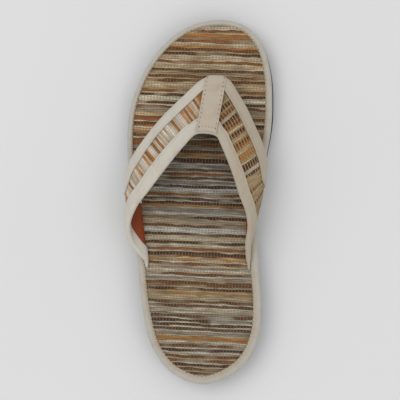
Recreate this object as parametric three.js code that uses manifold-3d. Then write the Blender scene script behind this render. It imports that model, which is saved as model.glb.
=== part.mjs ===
// A left thong sandal: a flat rubber sole, a footbed covered with woven fibre cloth and edged with cotton
// tape, and a V-shaped strap of the same cloth, with tape folded over both of its edges.
// Millimetres. +Z is up, +Y points to the toes and +X to the big-toe side.
// The origin is on the floor under the middle of the sandal.
import * as THREE from "three";
import { mergeVertices } from "three/addons/utils/BufferGeometryUtils.js";
import Module from "manifold-3d";

const manifold = await Module();
manifold.setup();

// Sole: heights and thicknesses
const HEEL_HEIGHT = 19; // footbed above the floor under the heel
const BALL_HEIGHT = 14.5; // footbed above the floor under the ball
const HEEL_SEAT_END = -62; // the heel rests on the floor behind this
const BALL_REST_START = 8; // the forefoot rests on the floor from here
const BALL_REST_END = 78; // up to here
const FALL_END = 38; // the footbed falls from the heel's seat to here
const HEEL_REST_END = -118; // behind this the heel's edge lifts
const ARCH_RISE = 1.8; // hollow under the waist
const TOE_SPRING = 5; // lift of the toe's tip
const HEEL_LIFT = 1.5; // lift of the heel's tip
const FOOTBED_THICKNESS = 5;
const TIP_Y = 135; // half of the sandal's length of 270
const HALF_WIDTH = 54;
const OUTSOLE_INSET = 0.3; // the outsole's side lies this far inside the tape's
const BALL_BULGE = 1.1; // but stands out this much more beside the ball, on the big-toe side
const BALL_BULGE_Y = 72;
const BALL_BULGE_REACH = 45;

// Cloth and tape
const GAP = 0.3; // between pieces that touch
const TAPE = 0.8; // thickness of the cotton tape
const EDGE_TAPE_WIDTH = 5.1; // tape seen on top of the footbed, beside its middle
const WIDER_AT_HEEL = 1.1; // and this much less at the toe
const WIDER_INSIDE = 0.5; // on the big-toe side, and this much less on the other
const WALL = 1.8; // strap cloth with its lining
const CENTRE_TAPE_WIDTH = 15;
const CENTRE_TAPE_END = 2.2; // from the strap's back edge to the tape's end

// Toe post, where its waist and foot are shares of its width
const POST_WIDTH = 11;
const POST_DEPTH = 6.5;
const POST_INSET = 6; // from the strap's front edge to the post's middle
const POST_FLARE = 1.1;
const POST_WAIST = 0.86;
const POST_WAIST_HEIGHT = 6;
const POST_SIDES = 24;

// The footbed's outline, counter-clockwise from the toe.
// x, y
const OUTLINE = [
  [14, 135],
  [-9, 130],
  [-29, 115],
  [-44, 93],
  [-52.5, 68],
  [-54.4, 41],
  [-50.6, -3],
  [-46.5, -38],
  [-42.6, -78],
  [-34.6, -109],
  [-20, -127],
  [2, -135],
  [22, -129],
  [36, -117],
  [44, -99],
  [45.8, -78],
  [43.8, -47],
  [42.5, -17],
  [45.5, 8],
  [49.3, 32],
  [52.8, 52],
  [54, 70],
  [52.6, 97],
  [46, 118],
  [33, 131],
];

// Cross-lines of the strap, from the big-toe side over the toe post to the little-toe side.
// Rise is the height above the footbed. The crown is how far the middle of the line stands out:
// sideways, away from the sandal's centre line, and up.
// front x, y, rise, back x, y, rise, crown side, up
const CROSS_LINES = [
  [45.4, 19.5, 4.9, 34.8, -33, 10, 3, 0],
  [48.3, 23.5, 6.8, 36.4, -20, 15.5, 2.4, 0.8],
  [49, 31.5, 9.5, 34.6, -8.5, 20.5, 0.4, 3],
  [45.9, 43.5, 13, 29.9, 4, 24.5, 0.2, 3.2],
  [40.3, 56.4, 15.5, 26, 16.5, 26.5, 0, 3],
  [35.2, 68, 16, 21.4, 29, 27, 0, 2.6],
  [28.9, 79, 15, 16.6, 40.5, 26.5, 0, 2.2],
  [21.6, 89.5, 14, 13.4, 46.4, 25.5, 0, 2],
  [13.1, 91.1, 13.8, 6.2, 48.4, 25.2, 0, 2],
  [4.2, 90.2, 14, -1.4, 47.8, 25.5, 0, 2],
  [-10.2, 77.7, 15.5, -9.8, 39.6, 26.5, 0, 2.2],
  [-25.6, 62.4, 16.5, -22, 24.6, 27, 0.6, 2.8],
  [-39.3, 45.7, 15, -35, 7.6, 26, 1, 3.2],
  [-48.2, 32.7, 12, -45, -5.2, 22, 1, 3.2],
  [-52.2, 23.2, 8.5, -51.2, -21.5, 16, 1.2, 1],
  [-50.4, 15, 5.6, -48, -34.5, 9.5, 2.6, 0],
];
const CENTRE_LINE = 10; // place of the toe post's line, once two foot lines are added at each end

// Widths of the tapes folded over the strap's edges, by the place along it. Under the centre tape the back
// one is mitred, which makes it wide there.
// along, front, back
const TAPE_WIDTHS = [
  [0, 9.8, 8],
  [5, 10.2, 8],
  [7, 9.2, 7.8],
  [8.3, 9, 7.8],
  [9.4, 8.6, 12.6],
  [10, 8.4, 14.5],
  [10.6, 8.4, 13],
  [11.6, 8.8, 8.6],
  [13.4, 9, 9.8],
  [14.6, 11.5, 9],
  [19, 11.5, 8],
];

// Where the strap's ends leave the footbed, beside the edge tape, and the height at which they lean out.
const ENDS = {
  bigToe: { side: 1, footFront: 15.5, footBack: -51, leanFront: 17.5, leanBack: -45 },
  littleToe: { side: -1, footFront: 9, footBack: -50, leanFront: 11.5, leanBack: -46 },
};
const END_POINTS = 6;
const LEAN_RISE = 3.2;
const FOOT_GAP = 0.5; // between the strap's end and the footbed and its tape

function steps(from, to, count) {
  return Array.from({ length: count + 1 }, (_, i) => from + ((to - from) * i) / count);
}

function smooth(from, to, value) {
  return THREE.MathUtils.smoothstep(value, from, to);
}

// Height of the sole's underside: flat under the heel and the forefoot, lifted elsewhere
function underside(y) {
  if (y > BALL_REST_END) return TOE_SPRING * ((y - BALL_REST_END) / (TIP_Y - BALL_REST_END)) ** 2;
  if (y < HEEL_REST_END) return HEEL_LIFT * ((HEEL_REST_END - y) / (TIP_Y + HEEL_REST_END)) ** 2;
  const waist = (HEEL_SEAT_END + BALL_REST_START) / 2;
  return ARCH_RISE * smooth(HEEL_SEAT_END, waist, y) * (1 - smooth(waist, BALL_REST_START, y));
}

// Height of the footbed's top: it falls from the heel to the ball and follows the lifted tips
function footbedTop(y) {
  const fall = smooth(HEEL_SEAT_END, FALL_END, y);
  const lift = y > BALL_REST_END || y < HEEL_REST_END ? underside(y) : 0;
  return THREE.MathUtils.lerp(HEEL_HEIGHT, BALL_HEIGHT, fall) + lift;
}

function footbedBottom(y) {
  return footbedTop(y) - FOOTBED_THICKNESS;
}

const outlineCurve = new THREE.CatmullRomCurve3(
  OUTLINE.map(([x, y]) => new THREE.Vector3(x, y, 0)),
  true,
);
const outline = outlineCurve.getPoints(600).map((p) => new THREE.Vector2(p.x, p.y));

// Where a ray from inside the outline leaves it, with the direction straight out of the edge there
function edgeFrom(origin, heading) {
  for (let i = 0; i + 1 < outline.length; i++) {
    const along = outline[i + 1].clone().sub(outline[i]);
    const away = outline[i].clone().sub(origin);
    const turn = heading.cross(along);
    const share = away.cross(heading) / turn;
    if (turn > 0 && away.cross(along) > 0 && share >= 0 && share < 1) {
      const edge = outline[i].clone().addScaledVector(along, share);
      return { edge, out: new THREE.Vector2(along.y, -along.x).normalize() };
    }
  }
  throw new Error("no edge");
}

// Width of the edge tape on top of the footbed, at a point of the outline
function edgeTapeWidth(edge) {
  return EDGE_TAPE_WIDTH - (WIDER_AT_HEEL * edge.y) / TIP_Y + (WIDER_INSIDE * edge.x) / HALF_WIDTH;
}

// Stations round the outline: straight rows across the middle, and rays from one point in each round end.
const HEEL_CENTRE = new THREE.Vector2(3, -92);
const TOE_CENTRE = new THREE.Vector2(5, 88);
const ROWS = 22;
const END_RAYS = 15;

function spineAt(share) {
  return HEEL_CENTRE.clone().lerp(TOE_CENTRE, share);
}

function stations() {
  const list = [];
  const add = (core, angle) => {
    const heading = new THREE.Vector2(Math.cos(angle), Math.sin(angle));
    list.push({ core, ...edgeFrom(core, heading) });
  };
  for (let i = 0; i < ROWS; i++) add(spineAt(i / ROWS), 0);
  for (let i = 0; i < END_RAYS; i++) add(TOE_CENTRE, (i / END_RAYS) * Math.PI);
  for (let i = 0; i < ROWS; i++) add(spineAt(1 - i / ROWS), Math.PI);
  for (let i = 0; i < END_RAYS; i++) add(HEEL_CENTRE, (1 + i / END_RAYS) * Math.PI);
  return list;
}
const STATIONS = stations();

// Solid from points and triangles. Equal corners are merged and triangles that this flattens are dropped.
function solidFrom(points, triangles) {
  const flat = new THREE.BufferGeometry();
  flat.setAttribute("position", new THREE.Float32BufferAttribute(points.flatMap((p) => p.toArray()), 3));
  flat.setIndex(triangles.flat());
  const merged = mergeVertices(flat, 1e-3);
  const index = merged.index.array;
  const kept = [];
  for (let i = 0; i < index.length; i += 3) {
    const [a, b, c] = [index[i], index[i + 1], index[i + 2]];
    if (a !== b && b !== c && c !== a) kept.push(a, b, c);
  }
  merged.setIndex(kept);
  merged.computeVertexNormals();
  return merged;
}

// Triangles between rows of points that close on themselves. Where turned says so for a column, the
// four-sided fields are split along the other diagonal.
function fields(rows, columns, at, turned = () => false) {
  const triangles = [];
  for (let r = 0; r + 1 < rows; r++) {
    for (let c = 0; c < columns; c++) {
      const next = (c + 1) % columns;
      const [a, b, d, e] = [at(r, c), at(r, next), at(r + 1, next), at(r + 1, c)];
      if (turned(c)) triangles.push([a, b, e], [b, d, e]);
      else triangles.push([a, b, d], [a, d, e]);
    }
  }
  return triangles;
}

// A body of the sole. The section runs from the middle of the underside out and up to the middle of the top,
// or all round for a ring. Each row has the inset from the outline, as a size or as a function of the point
// on the outline, the share of the way from there to the spine, and the height as a function of y.
function soleBody(section, ring, proud = () => 0) {
  const points = [];
  for (const [inset, inward, height] of section) {
    for (const { core, edge, out } of STATIONS) {
      const inside = typeof inset === "function" ? inset(edge) : inset;
      const at = edge.clone().addScaledVector(out, proud(edge) - inside).lerp(core, inward);
      points.push(new THREE.Vector3(at.x, at.y, height(at.y)));
    }
  }
  const rows = ring ? section.length + 1 : section.length;
  const at = (r, c) => (r % section.length) * STATIONS.length + c;
  return solidFrom(points, fields(rows, STATIONS.length, at));
}

const above = (base, rise) => (y) => base(y) + rise;

// Rows of a whole face, from its edge at an inset to the spine
const INNER_INSET = 14;
const faceRows = (inset, height) => [
  [inset, 0, height],
  [INNER_INSET, 0, height],
  [INNER_INSET, 0.5, height],
  [INNER_INSET, 1, height],
];

const TAPE_UNDER = 5; // width of the tape under the footbed
const SIDE_INSET = TAPE + GAP; // the footbed's side behind the tape

// The outsole stands a little proud of the tape beside the ball of the foot.
function outsole() {
  const top = above(footbedBottom, -GAP);
  const bulge = (y) => BALL_BULGE * Math.exp(-(((y - BALL_BULGE_Y) / BALL_BULGE_REACH) ** 2));
  const proud = (edge) => (edge.x > 0 ? bulge(edge.y) : 0) - OUTSOLE_INSET;
  const section = [
    ...faceRows(1.2, underside).reverse(),
    [0, 0, above(underside, 1.2)],
    [0, 0, above(top, -0.6)],
    [0.6, 0, top],
    ...faceRows(TAPE_UNDER + GAP, top),
  ];
  return soleBody(section, false, proud);
}

function footbed() {
  const room = TAPE + GAP;
  const section = [
    ...faceRows(TAPE_UNDER + GAP, footbedBottom).reverse(),
    [TAPE_UNDER + GAP, 0, above(footbedBottom, room)],
    [SIDE_INSET, 0, above(footbedBottom, room)],
    [SIDE_INSET, 0, above(footbedTop, -2)],
    [SIDE_INSET + 0.9, 0, above(footbedTop, -0.6)],
    ...faceRows(SIDE_INSET + 2.4, footbedTop),
  ];
  return soleBody(section, false);
}

// Tape folded round the footbed's edge: over the top, down the side and under
function footbedTape() {
  const section = [
    [TAPE_UNDER, 0, footbedBottom],
    [0.6, 0, footbedBottom],
    [0, 0, above(footbedBottom, 0.6)],
    [0, 0, above(footbedTop, -1.4)],
    [0.4, 0, above(footbedTop, -0.3)],
    [1.6, 0, above(footbedTop, 0.7)],
    [3, 0, above(footbedTop, GAP + TAPE)],
    [edgeTapeWidth, 0, above(footbedTop, GAP + TAPE)],
    [edgeTapeWidth, 0, above(footbedTop, GAP)],
    [SIDE_INSET + 2.2, 0, above(footbedTop, GAP)],
    [SIDE_INSET + 0.6, 0, above(footbedTop, -0.4)],
    [TAPE, 0, above(footbedTop, -1.9)],
    [TAPE, 0, above(footbedBottom, TAPE)],
    [TAPE_UNDER, 0, above(footbedBottom, TAPE)],
  ];
  return soleBody(section, true);
}

// The strap's middle surface. A line along the strap runs through one point of each cross-line.
// Along counts the cross-lines, and across goes from 0 at the front edge to 1 at the back edge.
function crossPoint(row, across) {
  const [frontX, frontY, frontRise, backX, backY, backRise, side, up] = row;
  const crown = 4 * across * (1 - across);
  const mix = (front, back) => front + (back - front) * across;
  const y = mix(frontY, backY);
  const x = mix(frontX, backX) + crown * side * Math.sign(frontX);
  return new THREE.Vector3(x, y, footbedTop(y) + mix(frontRise, backRise) + crown * up);
}

// Line on which an end of the strap stands, beside the edge tape, from its front to its back
function endLine(side, front, back, rise) {
  const points = steps(front, back, END_POINTS).map((y) => {
    const { edge, out } = edgeFrom(new THREE.Vector2(0, y), new THREE.Vector2(side, 0));
    const inset = edgeTapeWidth(edge) + FOOT_GAP + WALL / 2;
    const at = edge.addScaledVector(out, -inset);
    return new THREE.Vector3(at.x, at.y, footbedTop(at.y) + rise);
  });
  return new THREE.CatmullRomCurve3(points);
}

const footLine = (end) => endLine(end.side, end.footFront, end.footBack, FOOT_GAP);
const leanLine = (end) => endLine(end.side, end.leanFront, end.leanBack, LEAN_RISE);
const firstLines = [footLine(ENDS.bigToe), leanLine(ENDS.bigToe)];
const lastLines = [leanLine(ENDS.littleToe), footLine(ENDS.littleToe)];
const LAST_LINE = CROSS_LINES.length + 3;

function lineAlong(across) {
  const onEnd = (line) => line.getPoint(THREE.MathUtils.clamp(across, 0, 1));
  const middle = CROSS_LINES.map((row) => crossPoint(row, across));
  return new THREE.CatmullRomCurve3([...firstLines.map(onEnd), ...middle, ...lastLines.map(onEnd)]);
}

function middlePoint(along, across) {
  return lineAlong(across).getPoint(along / LAST_LINE);
}

const STEP = 0.01;

// Directions along and across the strap at a point, as changes for one whole step of each
function slopes(along, across) {
  const line = lineAlong(across);
  const before = Math.max(along - STEP, 0);
  const after = Math.min(along + STEP, LAST_LINE);
  const lengthwise = line.getPoint(after / LAST_LINE).sub(line.getPoint(before / LAST_LINE));
  lengthwise.divideScalar(after - before);
  const inner = THREE.MathUtils.clamp(across, STEP, 1 - STEP);
  const crosswise = middlePoint(along, inner + STEP).sub(middlePoint(along, inner - STEP));
  crosswise.divideScalar(2 * STEP);
  return { lengthwise, crosswise };
}

const EDGE_POINTS = 300;
const SEARCHES = 14;
const FINE = 3; // distances below this are measured square to the edge

// The place at a distance from an edge, for any point along the strap. It is searched for from the edge
// inwards. A negative distance lies outside the edge.
function placeFrom(edgeAcross, inward) {
  const edge = lineAlong(edgeAcross).getPoints(EDGE_POINTS);
  const away = (point) => Math.min(...edge.map((p) => p.distanceTo(point)));
  return (distance) => (along) => {
    if (distance < FINE) {
      const { lengthwise, crosswise } = slopes(along, edgeAcross);
      const pace = crosswise.cross(lengthwise).length() / lengthwise.length();
      return edgeAcross + (inward * distance) / pace;
    }
    let near = 0;
    let far = 0.5;
    for (let i = 0; i < SEARCHES; i++) {
      const middle = (near + far) / 2;
      if (away(middlePoint(along, edgeAcross + inward * middle)) < distance) near = middle;
      else far = middle;
    }
    return edgeAcross + inward * near;
  };
}
const fromFront = placeFrom(0, 1);
const fromBack = placeFrom(1, -1);

// Width of a folded tape at a place along the strap
function tapeWidth(column, along) {
  const next = Math.max(1, TAPE_WIDTHS.findIndex((row) => row[0] >= along));
  const [before, after] = [TAPE_WIDTHS[next - 1], TAPE_WIDTHS[next]];
  return THREE.MathUtils.mapLinear(along, before[0], after[0], before[column], after[column]);
}

// Places on the folded tapes: a share of their width away from the edge, and a distance past their inner side
const onFrontTape = (share, past = 0) => (along) => fromFront(share * tapeWidth(1, along) + past)(along);
const onBackTape = (share, past = 0) => (along) => fromBack(share * tapeWidth(2, along) + past)(along);
const between = (share) => (along) => {
  const front = onFrontTape(1)(along);
  return front + (onBackTape(1)(along) - front) * share;
};

// Point of the strap at a height square to its middle surface, outside being up
function strapPoint(along, place, height) {
  const across = place(along);
  const { lengthwise, crosswise } = slopes(along, across);
  const out = lengthwise.cross(crosswise).normalize();
  return middlePoint(along, across).addScaledVector(out, height);
}

// Triangles that fill a closed row of points, which lie nearly in a plane
function cap(row) {
  const square = new THREE.Vector3();
  row.forEach((point, i) => square.add(point.clone().cross(row[(i + 1) % row.length])));
  square.normalize();
  const right = row[1].clone().sub(row[0]).projectOnPlane(square).normalize();
  const up = square.clone().cross(right);
  const shape = row.map((point) => new THREE.Vector2(point.dot(right), point.dot(up)));
  return THREE.ShapeUtils.triangulateShape(shape, []);
}

// Solid swept along the strap through rows of equal sections, with flat ends. The rows are given from the
// little-toe side. A section is a closed list of places and heights, forward along the underside and back
// along the top, so that the faces look out.
function sweptBody(rows, section) {
  const columns = section.length;
  const at = (r, c) => r * columns + c;
  const across = section.map(([place]) => place(CENTRE_LINE));
  const forward = (c) => across[(c + 1) % columns] < across[c];
  const triangles = fields(rows.length, columns, at, forward);
  const last = rows.length - 1;
  for (const [a, b, c] of cap(rows[0])) triangles.push([at(0, a), at(0, c), at(0, b)]);
  for (const [a, b, c] of cap(rows[last])) triangles.push([at(last, a), at(last, b), at(last, c)]);
  return solidFrom(rows.flat(), triangles);
}

function strapBody(section, alongs) {
  const rows = alongs.map((along) => section.map(([place, height]) => strapPoint(along, place, height)));
  return sweptBody(rows.reverse(), section);
}

const STEPS_A_LINE = 3;
const FOOT_GAP_END = 0.45; // along the strap, where the folded tapes clear the footbed's tape
const middleAlongs = steps(1, LAST_LINE - 1, (LAST_LINE - 2) * STEPS_A_LINE);
const tapedAlongs = [FOOT_GAP_END, ...middleAlongs, LAST_LINE - FOOT_GAP_END];

function strapWall() {
  const edge = 3 * GAP + TAPE;
  const places = [
    fromFront(edge),
    onFrontTape(0.5),
    onFrontTape(1),
    ...steps(1 / 6, 5 / 6, 4).map(between),
    onBackTape(1),
    onBackTape(0.5),
    fromBack(edge),
  ];
  const outside = places.map((place) => [place, WALL / 2]);
  const inside = places.map((place) => [place, -WALL / 2]).reverse();
  return strapBody([...inside, ...outside], [0, ...tapedAlongs, LAST_LINE]);
}

// Tape folded over one edge of the strap, with a round nose
function foldedTape(fromEdge, onTape, turned) {
  const inner = WALL / 2 + GAP;
  const outer = inner + TAPE;
  const nose = (angle) => [fromEdge(outer * (1 - Math.cos(angle))), outer * Math.sin(angle)];
  const section = [
    [onTape(1), outer],
    [onTape(0.5), outer],
    ...steps(Math.PI / 2, -Math.PI / 2, 4).map(nose),
    [onTape(0.5), -outer],
    [onTape(1), -outer],
    [onTape(1), -inner],
    [onTape(0.5), -inner],
    [fromEdge(TAPE), -inner],
    [fromEdge(TAPE), inner],
    [onTape(0.5), inner],
    [onTape(1), inner],
  ];
  return strapBody(turned ? section.reverse() : section, tapedAlongs);
}

const NOSE = WALL / 2 + GAP + TAPE; // radius of the folded tape's nose
const SEWN_GAP = 0.5; // under the centre tape

// Tape along the middle of the V, stitched down on top and turned down over the front edge
function centreTape() {
  const under = NOSE + SEWN_GAP;
  const over = under + TAPE;
  const bend = (radius, degrees) => {
    const angle = THREE.MathUtils.degToRad(degrees);
    return [fromFront(NOSE - radius * Math.cos(angle)), radius * Math.sin(angle)];
  };
  const low = WALL / 2 + SEWN_GAP;
  const section = [
    ...[-70, -35, 0, 35, 65, 90].map((degrees) => bend(over, degrees)),
    [between(0), over],
    [between(0.5), over],
    [between(1), over],
    [fromBack(CENTRE_TAPE_END), over],
    [fromBack(CENTRE_TAPE_END), under],
    [onBackTape(1, 1), under],
    [onBackTape(1, 1), low],
    [between(0.5), low],
    [onFrontTape(1, 1), low],
    [onFrontTape(1, 1), under],
    ...[90, 65, 35, 0, -35, -70].map((degrees) => bend(under, degrees)),
  ];
  const rows = [1, 0.5, 0, -0.5, -1].map((side) =>
    section.map(([place, height]) => {
      const { lengthwise } = slopes(CENTRE_LINE, place(CENTRE_LINE));
      const along = CENTRE_LINE + (side * CENTRE_TAPE_WIDTH) / 2 / lengthwise.length();
      return strapPoint(along, place, height);
    }),
  );
  return sweptBody(rows, section);
}

function toManifold(geometry) {
  const positions = geometry.clone();
  positions.deleteAttribute("normal");
  const merged = mergeVertices(positions, 1e-3);
  return new manifold.Manifold(
    new manifold.Mesh({
      numProp: 3,
      vertProperties: new Float32Array(merged.attributes.position.array),
      triVerts: new Uint32Array(merged.index.array),
    }),
  );
}

function fromManifold(body) {
  const mesh = body.getMesh();
  const geometry = new THREE.BufferGeometry();
  geometry.setAttribute("position", new THREE.Float32BufferAttribute(mesh.vertProperties, 3));
  geometry.setIndex(Array.from(mesh.triVerts));
  geometry.computeVertexNormals();
  return geometry;
}

// Flat round post of rolled tape between the footbed and the strap, cut to the strap's underside
function toePost() {
  const centre = middlePoint(CENTRE_LINE, fromFront(POST_INSET)(CENTRE_LINE));
  const points = [];
  const ring = (scale, z) => {
    for (let i = 0; i < POST_SIDES; i++) {
      const angle = (i / POST_SIDES) * 2 * Math.PI;
      const x = centre.x + (scale * POST_WIDTH * Math.cos(angle)) / 2;
      const y = centre.y + (scale * POST_DEPTH * Math.sin(angle)) / 2;
      points.push(new THREE.Vector3(x, y, z ?? footbedTop(y) + GAP));
    }
  };
  const waist = footbedTop(centre.y) + POST_WAIST_HEIGHT;
  ring(0);
  ring(POST_FLARE);
  ring(POST_WAIST, waist);
  ring(1, centre.z);
  ring(0, centre.z);
  const at = (r, c) => r * POST_SIDES + c;
  const column = toManifold(solidFrom(points, fields(5, POST_SIDES, at)));
  const clear = NOSE + GAP;
  const [ahead, behind, top] = [-3, POST_INSET + POST_WIDTH, POST_WIDTH];
  const room = strapBody(
    [
      [fromFront(behind), -clear],
      [fromFront(ahead), -clear],
      [fromFront(ahead), top],
      [fromFront(behind), top],
    ],
    steps(CENTRE_LINE - 1, CENTRE_LINE + 1, 6),
  );
  return fromManifold(column.subtract(toManifold(room)));
}

const part = new THREE.Group();
part.name = "sandal";

function add(name, geometry, color, roughness) {
  const material = new THREE.MeshStandardMaterial({ color, roughness, metalness: 0 });
  const mesh = new THREE.Mesh(geometry, material);
  mesh.name = name;
  part.add(mesh);
}

const RUBBER = "#1b1c20";
const CLOTH = "#9a8468";
const COTTON = "#bdb19d";

add("outsole", outsole(), RUBBER, 0.75);
add("footbed", footbed(), CLOTH, 0.9);
add("footbed_tape", footbedTape(), COTTON, 0.95);
add("strap", strapWall(), CLOTH, 0.9);
add("front_edge_tape", foldedTape(fromFront, onFrontTape, true), COTTON, 0.95);
add("back_edge_tape", foldedTape(fromBack, onBackTape, false), COTTON, 0.95);
add("centre_tape", centreTape(), COTTON, 0.95);
add("toe_post", toePost(), COTTON, 0.95);

export default part;
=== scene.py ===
import math

import bmesh
import bpy
import numpy as np
from mathutils import Matrix, Vector


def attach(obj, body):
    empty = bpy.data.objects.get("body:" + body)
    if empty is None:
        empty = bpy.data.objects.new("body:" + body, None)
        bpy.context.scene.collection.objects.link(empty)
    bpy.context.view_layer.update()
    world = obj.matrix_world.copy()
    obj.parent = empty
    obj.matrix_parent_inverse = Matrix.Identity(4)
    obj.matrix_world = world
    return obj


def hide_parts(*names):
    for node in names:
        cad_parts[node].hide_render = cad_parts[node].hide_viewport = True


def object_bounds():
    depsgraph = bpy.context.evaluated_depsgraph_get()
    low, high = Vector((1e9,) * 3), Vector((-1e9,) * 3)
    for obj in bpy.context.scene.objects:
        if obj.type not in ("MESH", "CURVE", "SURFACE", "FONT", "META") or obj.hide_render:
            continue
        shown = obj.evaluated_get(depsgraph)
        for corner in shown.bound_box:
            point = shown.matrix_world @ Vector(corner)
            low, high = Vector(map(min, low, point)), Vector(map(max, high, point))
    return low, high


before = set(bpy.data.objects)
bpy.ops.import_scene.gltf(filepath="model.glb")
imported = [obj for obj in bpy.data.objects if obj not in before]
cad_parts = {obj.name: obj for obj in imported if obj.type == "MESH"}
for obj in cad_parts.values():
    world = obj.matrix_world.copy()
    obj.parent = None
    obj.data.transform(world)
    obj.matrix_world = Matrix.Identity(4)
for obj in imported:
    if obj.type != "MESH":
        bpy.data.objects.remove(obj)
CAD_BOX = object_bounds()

# Camera: it hangs a metre above the sandal, a little to its big-toe side and towards the heel, and looks
# down at the middle of the sandal, with the toe at the top of the picture.
MM = 0.001
VIEWPOINT = Vector((56.3, -32.8, 1017)) * MM
AIM_RIGHT = 0.5 * MM
AIM_AHEAD = 1 * MM
AIM_HEIGHT = 17 * MM
SEEN_HEIGHT = 297 * MM
SENSOR_WIDTH = 36
TOWARDS_TOE = Vector((0, 1, 0))


def new_object(name, data):
    made = bpy.data.objects.new(name, data)
    bpy.context.scene.collection.objects.link(made)
    return made


low, high = CAD_BOX
aim = Vector(((low.x + high.x) / 2 + AIM_RIGHT, (low.y + high.y) / 2 + AIM_AHEAD, AIM_HEIGHT))
toward = (aim - VIEWPOINT).normalized()
right = toward.cross(TOWARDS_TOE).normalized()
up = right.cross(toward)
camera_data = bpy.data.cameras.new("camera")
camera_data.sensor_width = SENSOR_WIDTH
camera_data.lens = SENSOR_WIDTH * (aim - VIEWPOINT).length / SEEN_HEIGHT
camera = new_object("camera", camera_data)
camera.location = VIEWPOINT
camera.rotation_mode = "QUATERNION"
camera.rotation_quaternion = Matrix((right, up, -toward)).transposed().to_quaternion()
bpy.context.scene.camera = camera
bpy.context.scene.view_settings.view_transform = "Standard"


# Room: a plain pale floor of matt paper and soft light from all round. One wide lamp hangs high beyond the
# little toe, and a weaker one across from it, on the big-toe side, softens the shadows.
FLOOR_HALF = 3.0
ROOM_LIGHT = (0.99, 0.995, 1.0, 1.0)
ROOM_STRENGTH = 0.8


def connect(tree, made, inputs):
    """Sets or links each named input of a node."""
    for socket, value in inputs.items():
        if isinstance(value, bpy.types.NodeSocket):
            tree.links.new(value, made.inputs[socket])
        else:
            made.inputs[socket].default_value = value


def node(tree, kind, inputs=None, **settings):
    made = tree.nodes.new(kind)
    for name, value in settings.items():
        setattr(made, name, value)
    connect(tree, made, inputs or {})
    return made


def noise(tree, place, scale, detail, roughness=0.5):
    """Soft random pattern from 0 to 1."""
    inputs = {"Vector": place, "Scale": scale, "Detail": detail, "Roughness": roughness}
    return node(tree, "ShaderNodeTexNoise", inputs).outputs["Fac"]


def blend(tree, factor, first, second, mode="MIX"):
    """The first colour, turned by a factor from 0 to 1 into the second, or into the product of both."""
    inputs = {"Factor": factor, "A": first, "B": second}
    return node(tree, "ShaderNodeMix", inputs, data_type="RGBA", blend_type=mode).outputs["Result"]


def paint(red, green, blue):
    """A colour as it looks on screen, in the renderer's own scale."""
    shares = [channel / 255 for channel in (red, green, blue)]
    return tuple(s / 12.92 if s <= 0.04045 else ((s + 0.055) / 1.055) ** 2.4 for s in shares) + (1.0,)


def new_material(name):
    made = bpy.data.materials.new(name)
    made.use_nodes = True
    tree = made.node_tree
    return made, tree, tree.nodes["Principled BSDF"]


def floor_material():
    made, tree, shader = new_material("floor_paper")
    place = node(tree, "ShaderNodeTexCoord").outputs["Object"]
    mottle = noise(tree, place, scale=3.0, detail=2.0)
    colour = blend(tree, mottle, paint(210, 210, 211), paint(215, 215, 215))
    connect(tree, shader, {"Base Color": colour, "Roughness": 0.95})
    return made


corners = [(x * FLOOR_HALF, y * FLOOR_HALF, 0) for x, y in ((-1, -1), (1, -1), (1, 1), (-1, 1))]
floor_mesh = bpy.data.meshes.new("floor")
floor_mesh.from_pydata(corners, [], [(0, 1, 2, 3)])
floor_mesh.materials.append(floor_material())
floor = new_object("floor", floor_mesh)

world = bpy.data.worlds.new("room_light")
world.use_nodes = True
background = world.node_tree.nodes["Background"]
connect(world.node_tree, background, {"Color": ROOM_LIGHT, "Strength": ROOM_STRENGTH})
bpy.context.scene.world = world


def soft_lamp(name, place, size, power, colour):
    data = bpy.data.lights.new(name, "AREA")
    data.shape = "SQUARE"
    data.size = size
    data.energy = power
    data.color = colour
    lamp = new_object(name, data)
    lamp.location = place
    lamp.rotation_mode = "QUATERNION"
    lamp.rotation_quaternion = (-Vector(place)).to_track_quat("-Z", "Y")


soft_lamp("key_lamp", (-1.5, 0.8, 3.2), size=2.4, power=37, colour=(1.0, 0.99, 0.97))
soft_lamp("fill_lamp", (1.8, -1.2, 2.6), size=1.8, power=12, colour=(1.0, 0.98, 0.96))


# Outsole: one slab of black foam rubber, cut to the foot's outline and cemented under the footbed.
# It is thicker under the heel, hollow under the waist and lifted at the toe.
# Heights and depths are in millimetres, and the gap is the glue line between two pieces.
HEEL_HEIGHT = 19.0
BALL_HEIGHT = 14.5
FOOTBED_THICKNESS = 5.0
ARCH_RISE = 1.8
TOE_SPRING = 5.0
HEEL_LIFT = 1.5
GAP = 0.3

# Places along the sole in millimetres, from its middle towards the toe, where its slopes start and end.
HEEL_REST_END = -118.0
HEEL_SEAT_END = -62.0
BALL_REST_START = 8.0
FALL_END = 38.0
BALL_REST_END = 78.0
TIP_Y = 135.0

# The footbed's outline in millimetres, counter-clockwise from the toe, and the two ends of its spine.
OUTLINE = [
    (14, 135), (-9, 130), (-29, 115), (-44, 93), (-52.5, 68), (-54.4, 41), (-50.6, -3), (-46.5, -38),
    (-42.6, -78), (-34.6, -109), (-20, -127), (2, -135), (22, -129), (36, -117), (44, -99), (45.8, -78),
    (43.8, -47), (42.5, -17), (45.5, 8), (49.3, 32), (52.8, 52), (54, 70), (52.6, 97), (46, 118), (33, 131),
]
OUTLINE_STEPS = 1200
HEEL_CENTRE = np.array([3.0, -92.0])
TOE_CENTRE = np.array([5.0, 88.0])
SIDE_STATIONS = 88
END_STATIONS = 60


def ease(start, end, value):
    """From 0 at the start to 1 at the end, with no corner at either."""
    share = np.clip((value - start) / (end - start), 0, 1)
    return share * share * (3 - 2 * share)


def tip_lift(y):
    """Rise of the whole sole towards the tips of the toe and the heel."""
    toe = np.maximum(y - BALL_REST_END, 0) / (TIP_Y - BALL_REST_END)
    heel = np.maximum(HEEL_REST_END - y, 0) / (TIP_Y + HEEL_REST_END)
    return TOE_SPRING * toe**2 + HEEL_LIFT * heel**2


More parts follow.
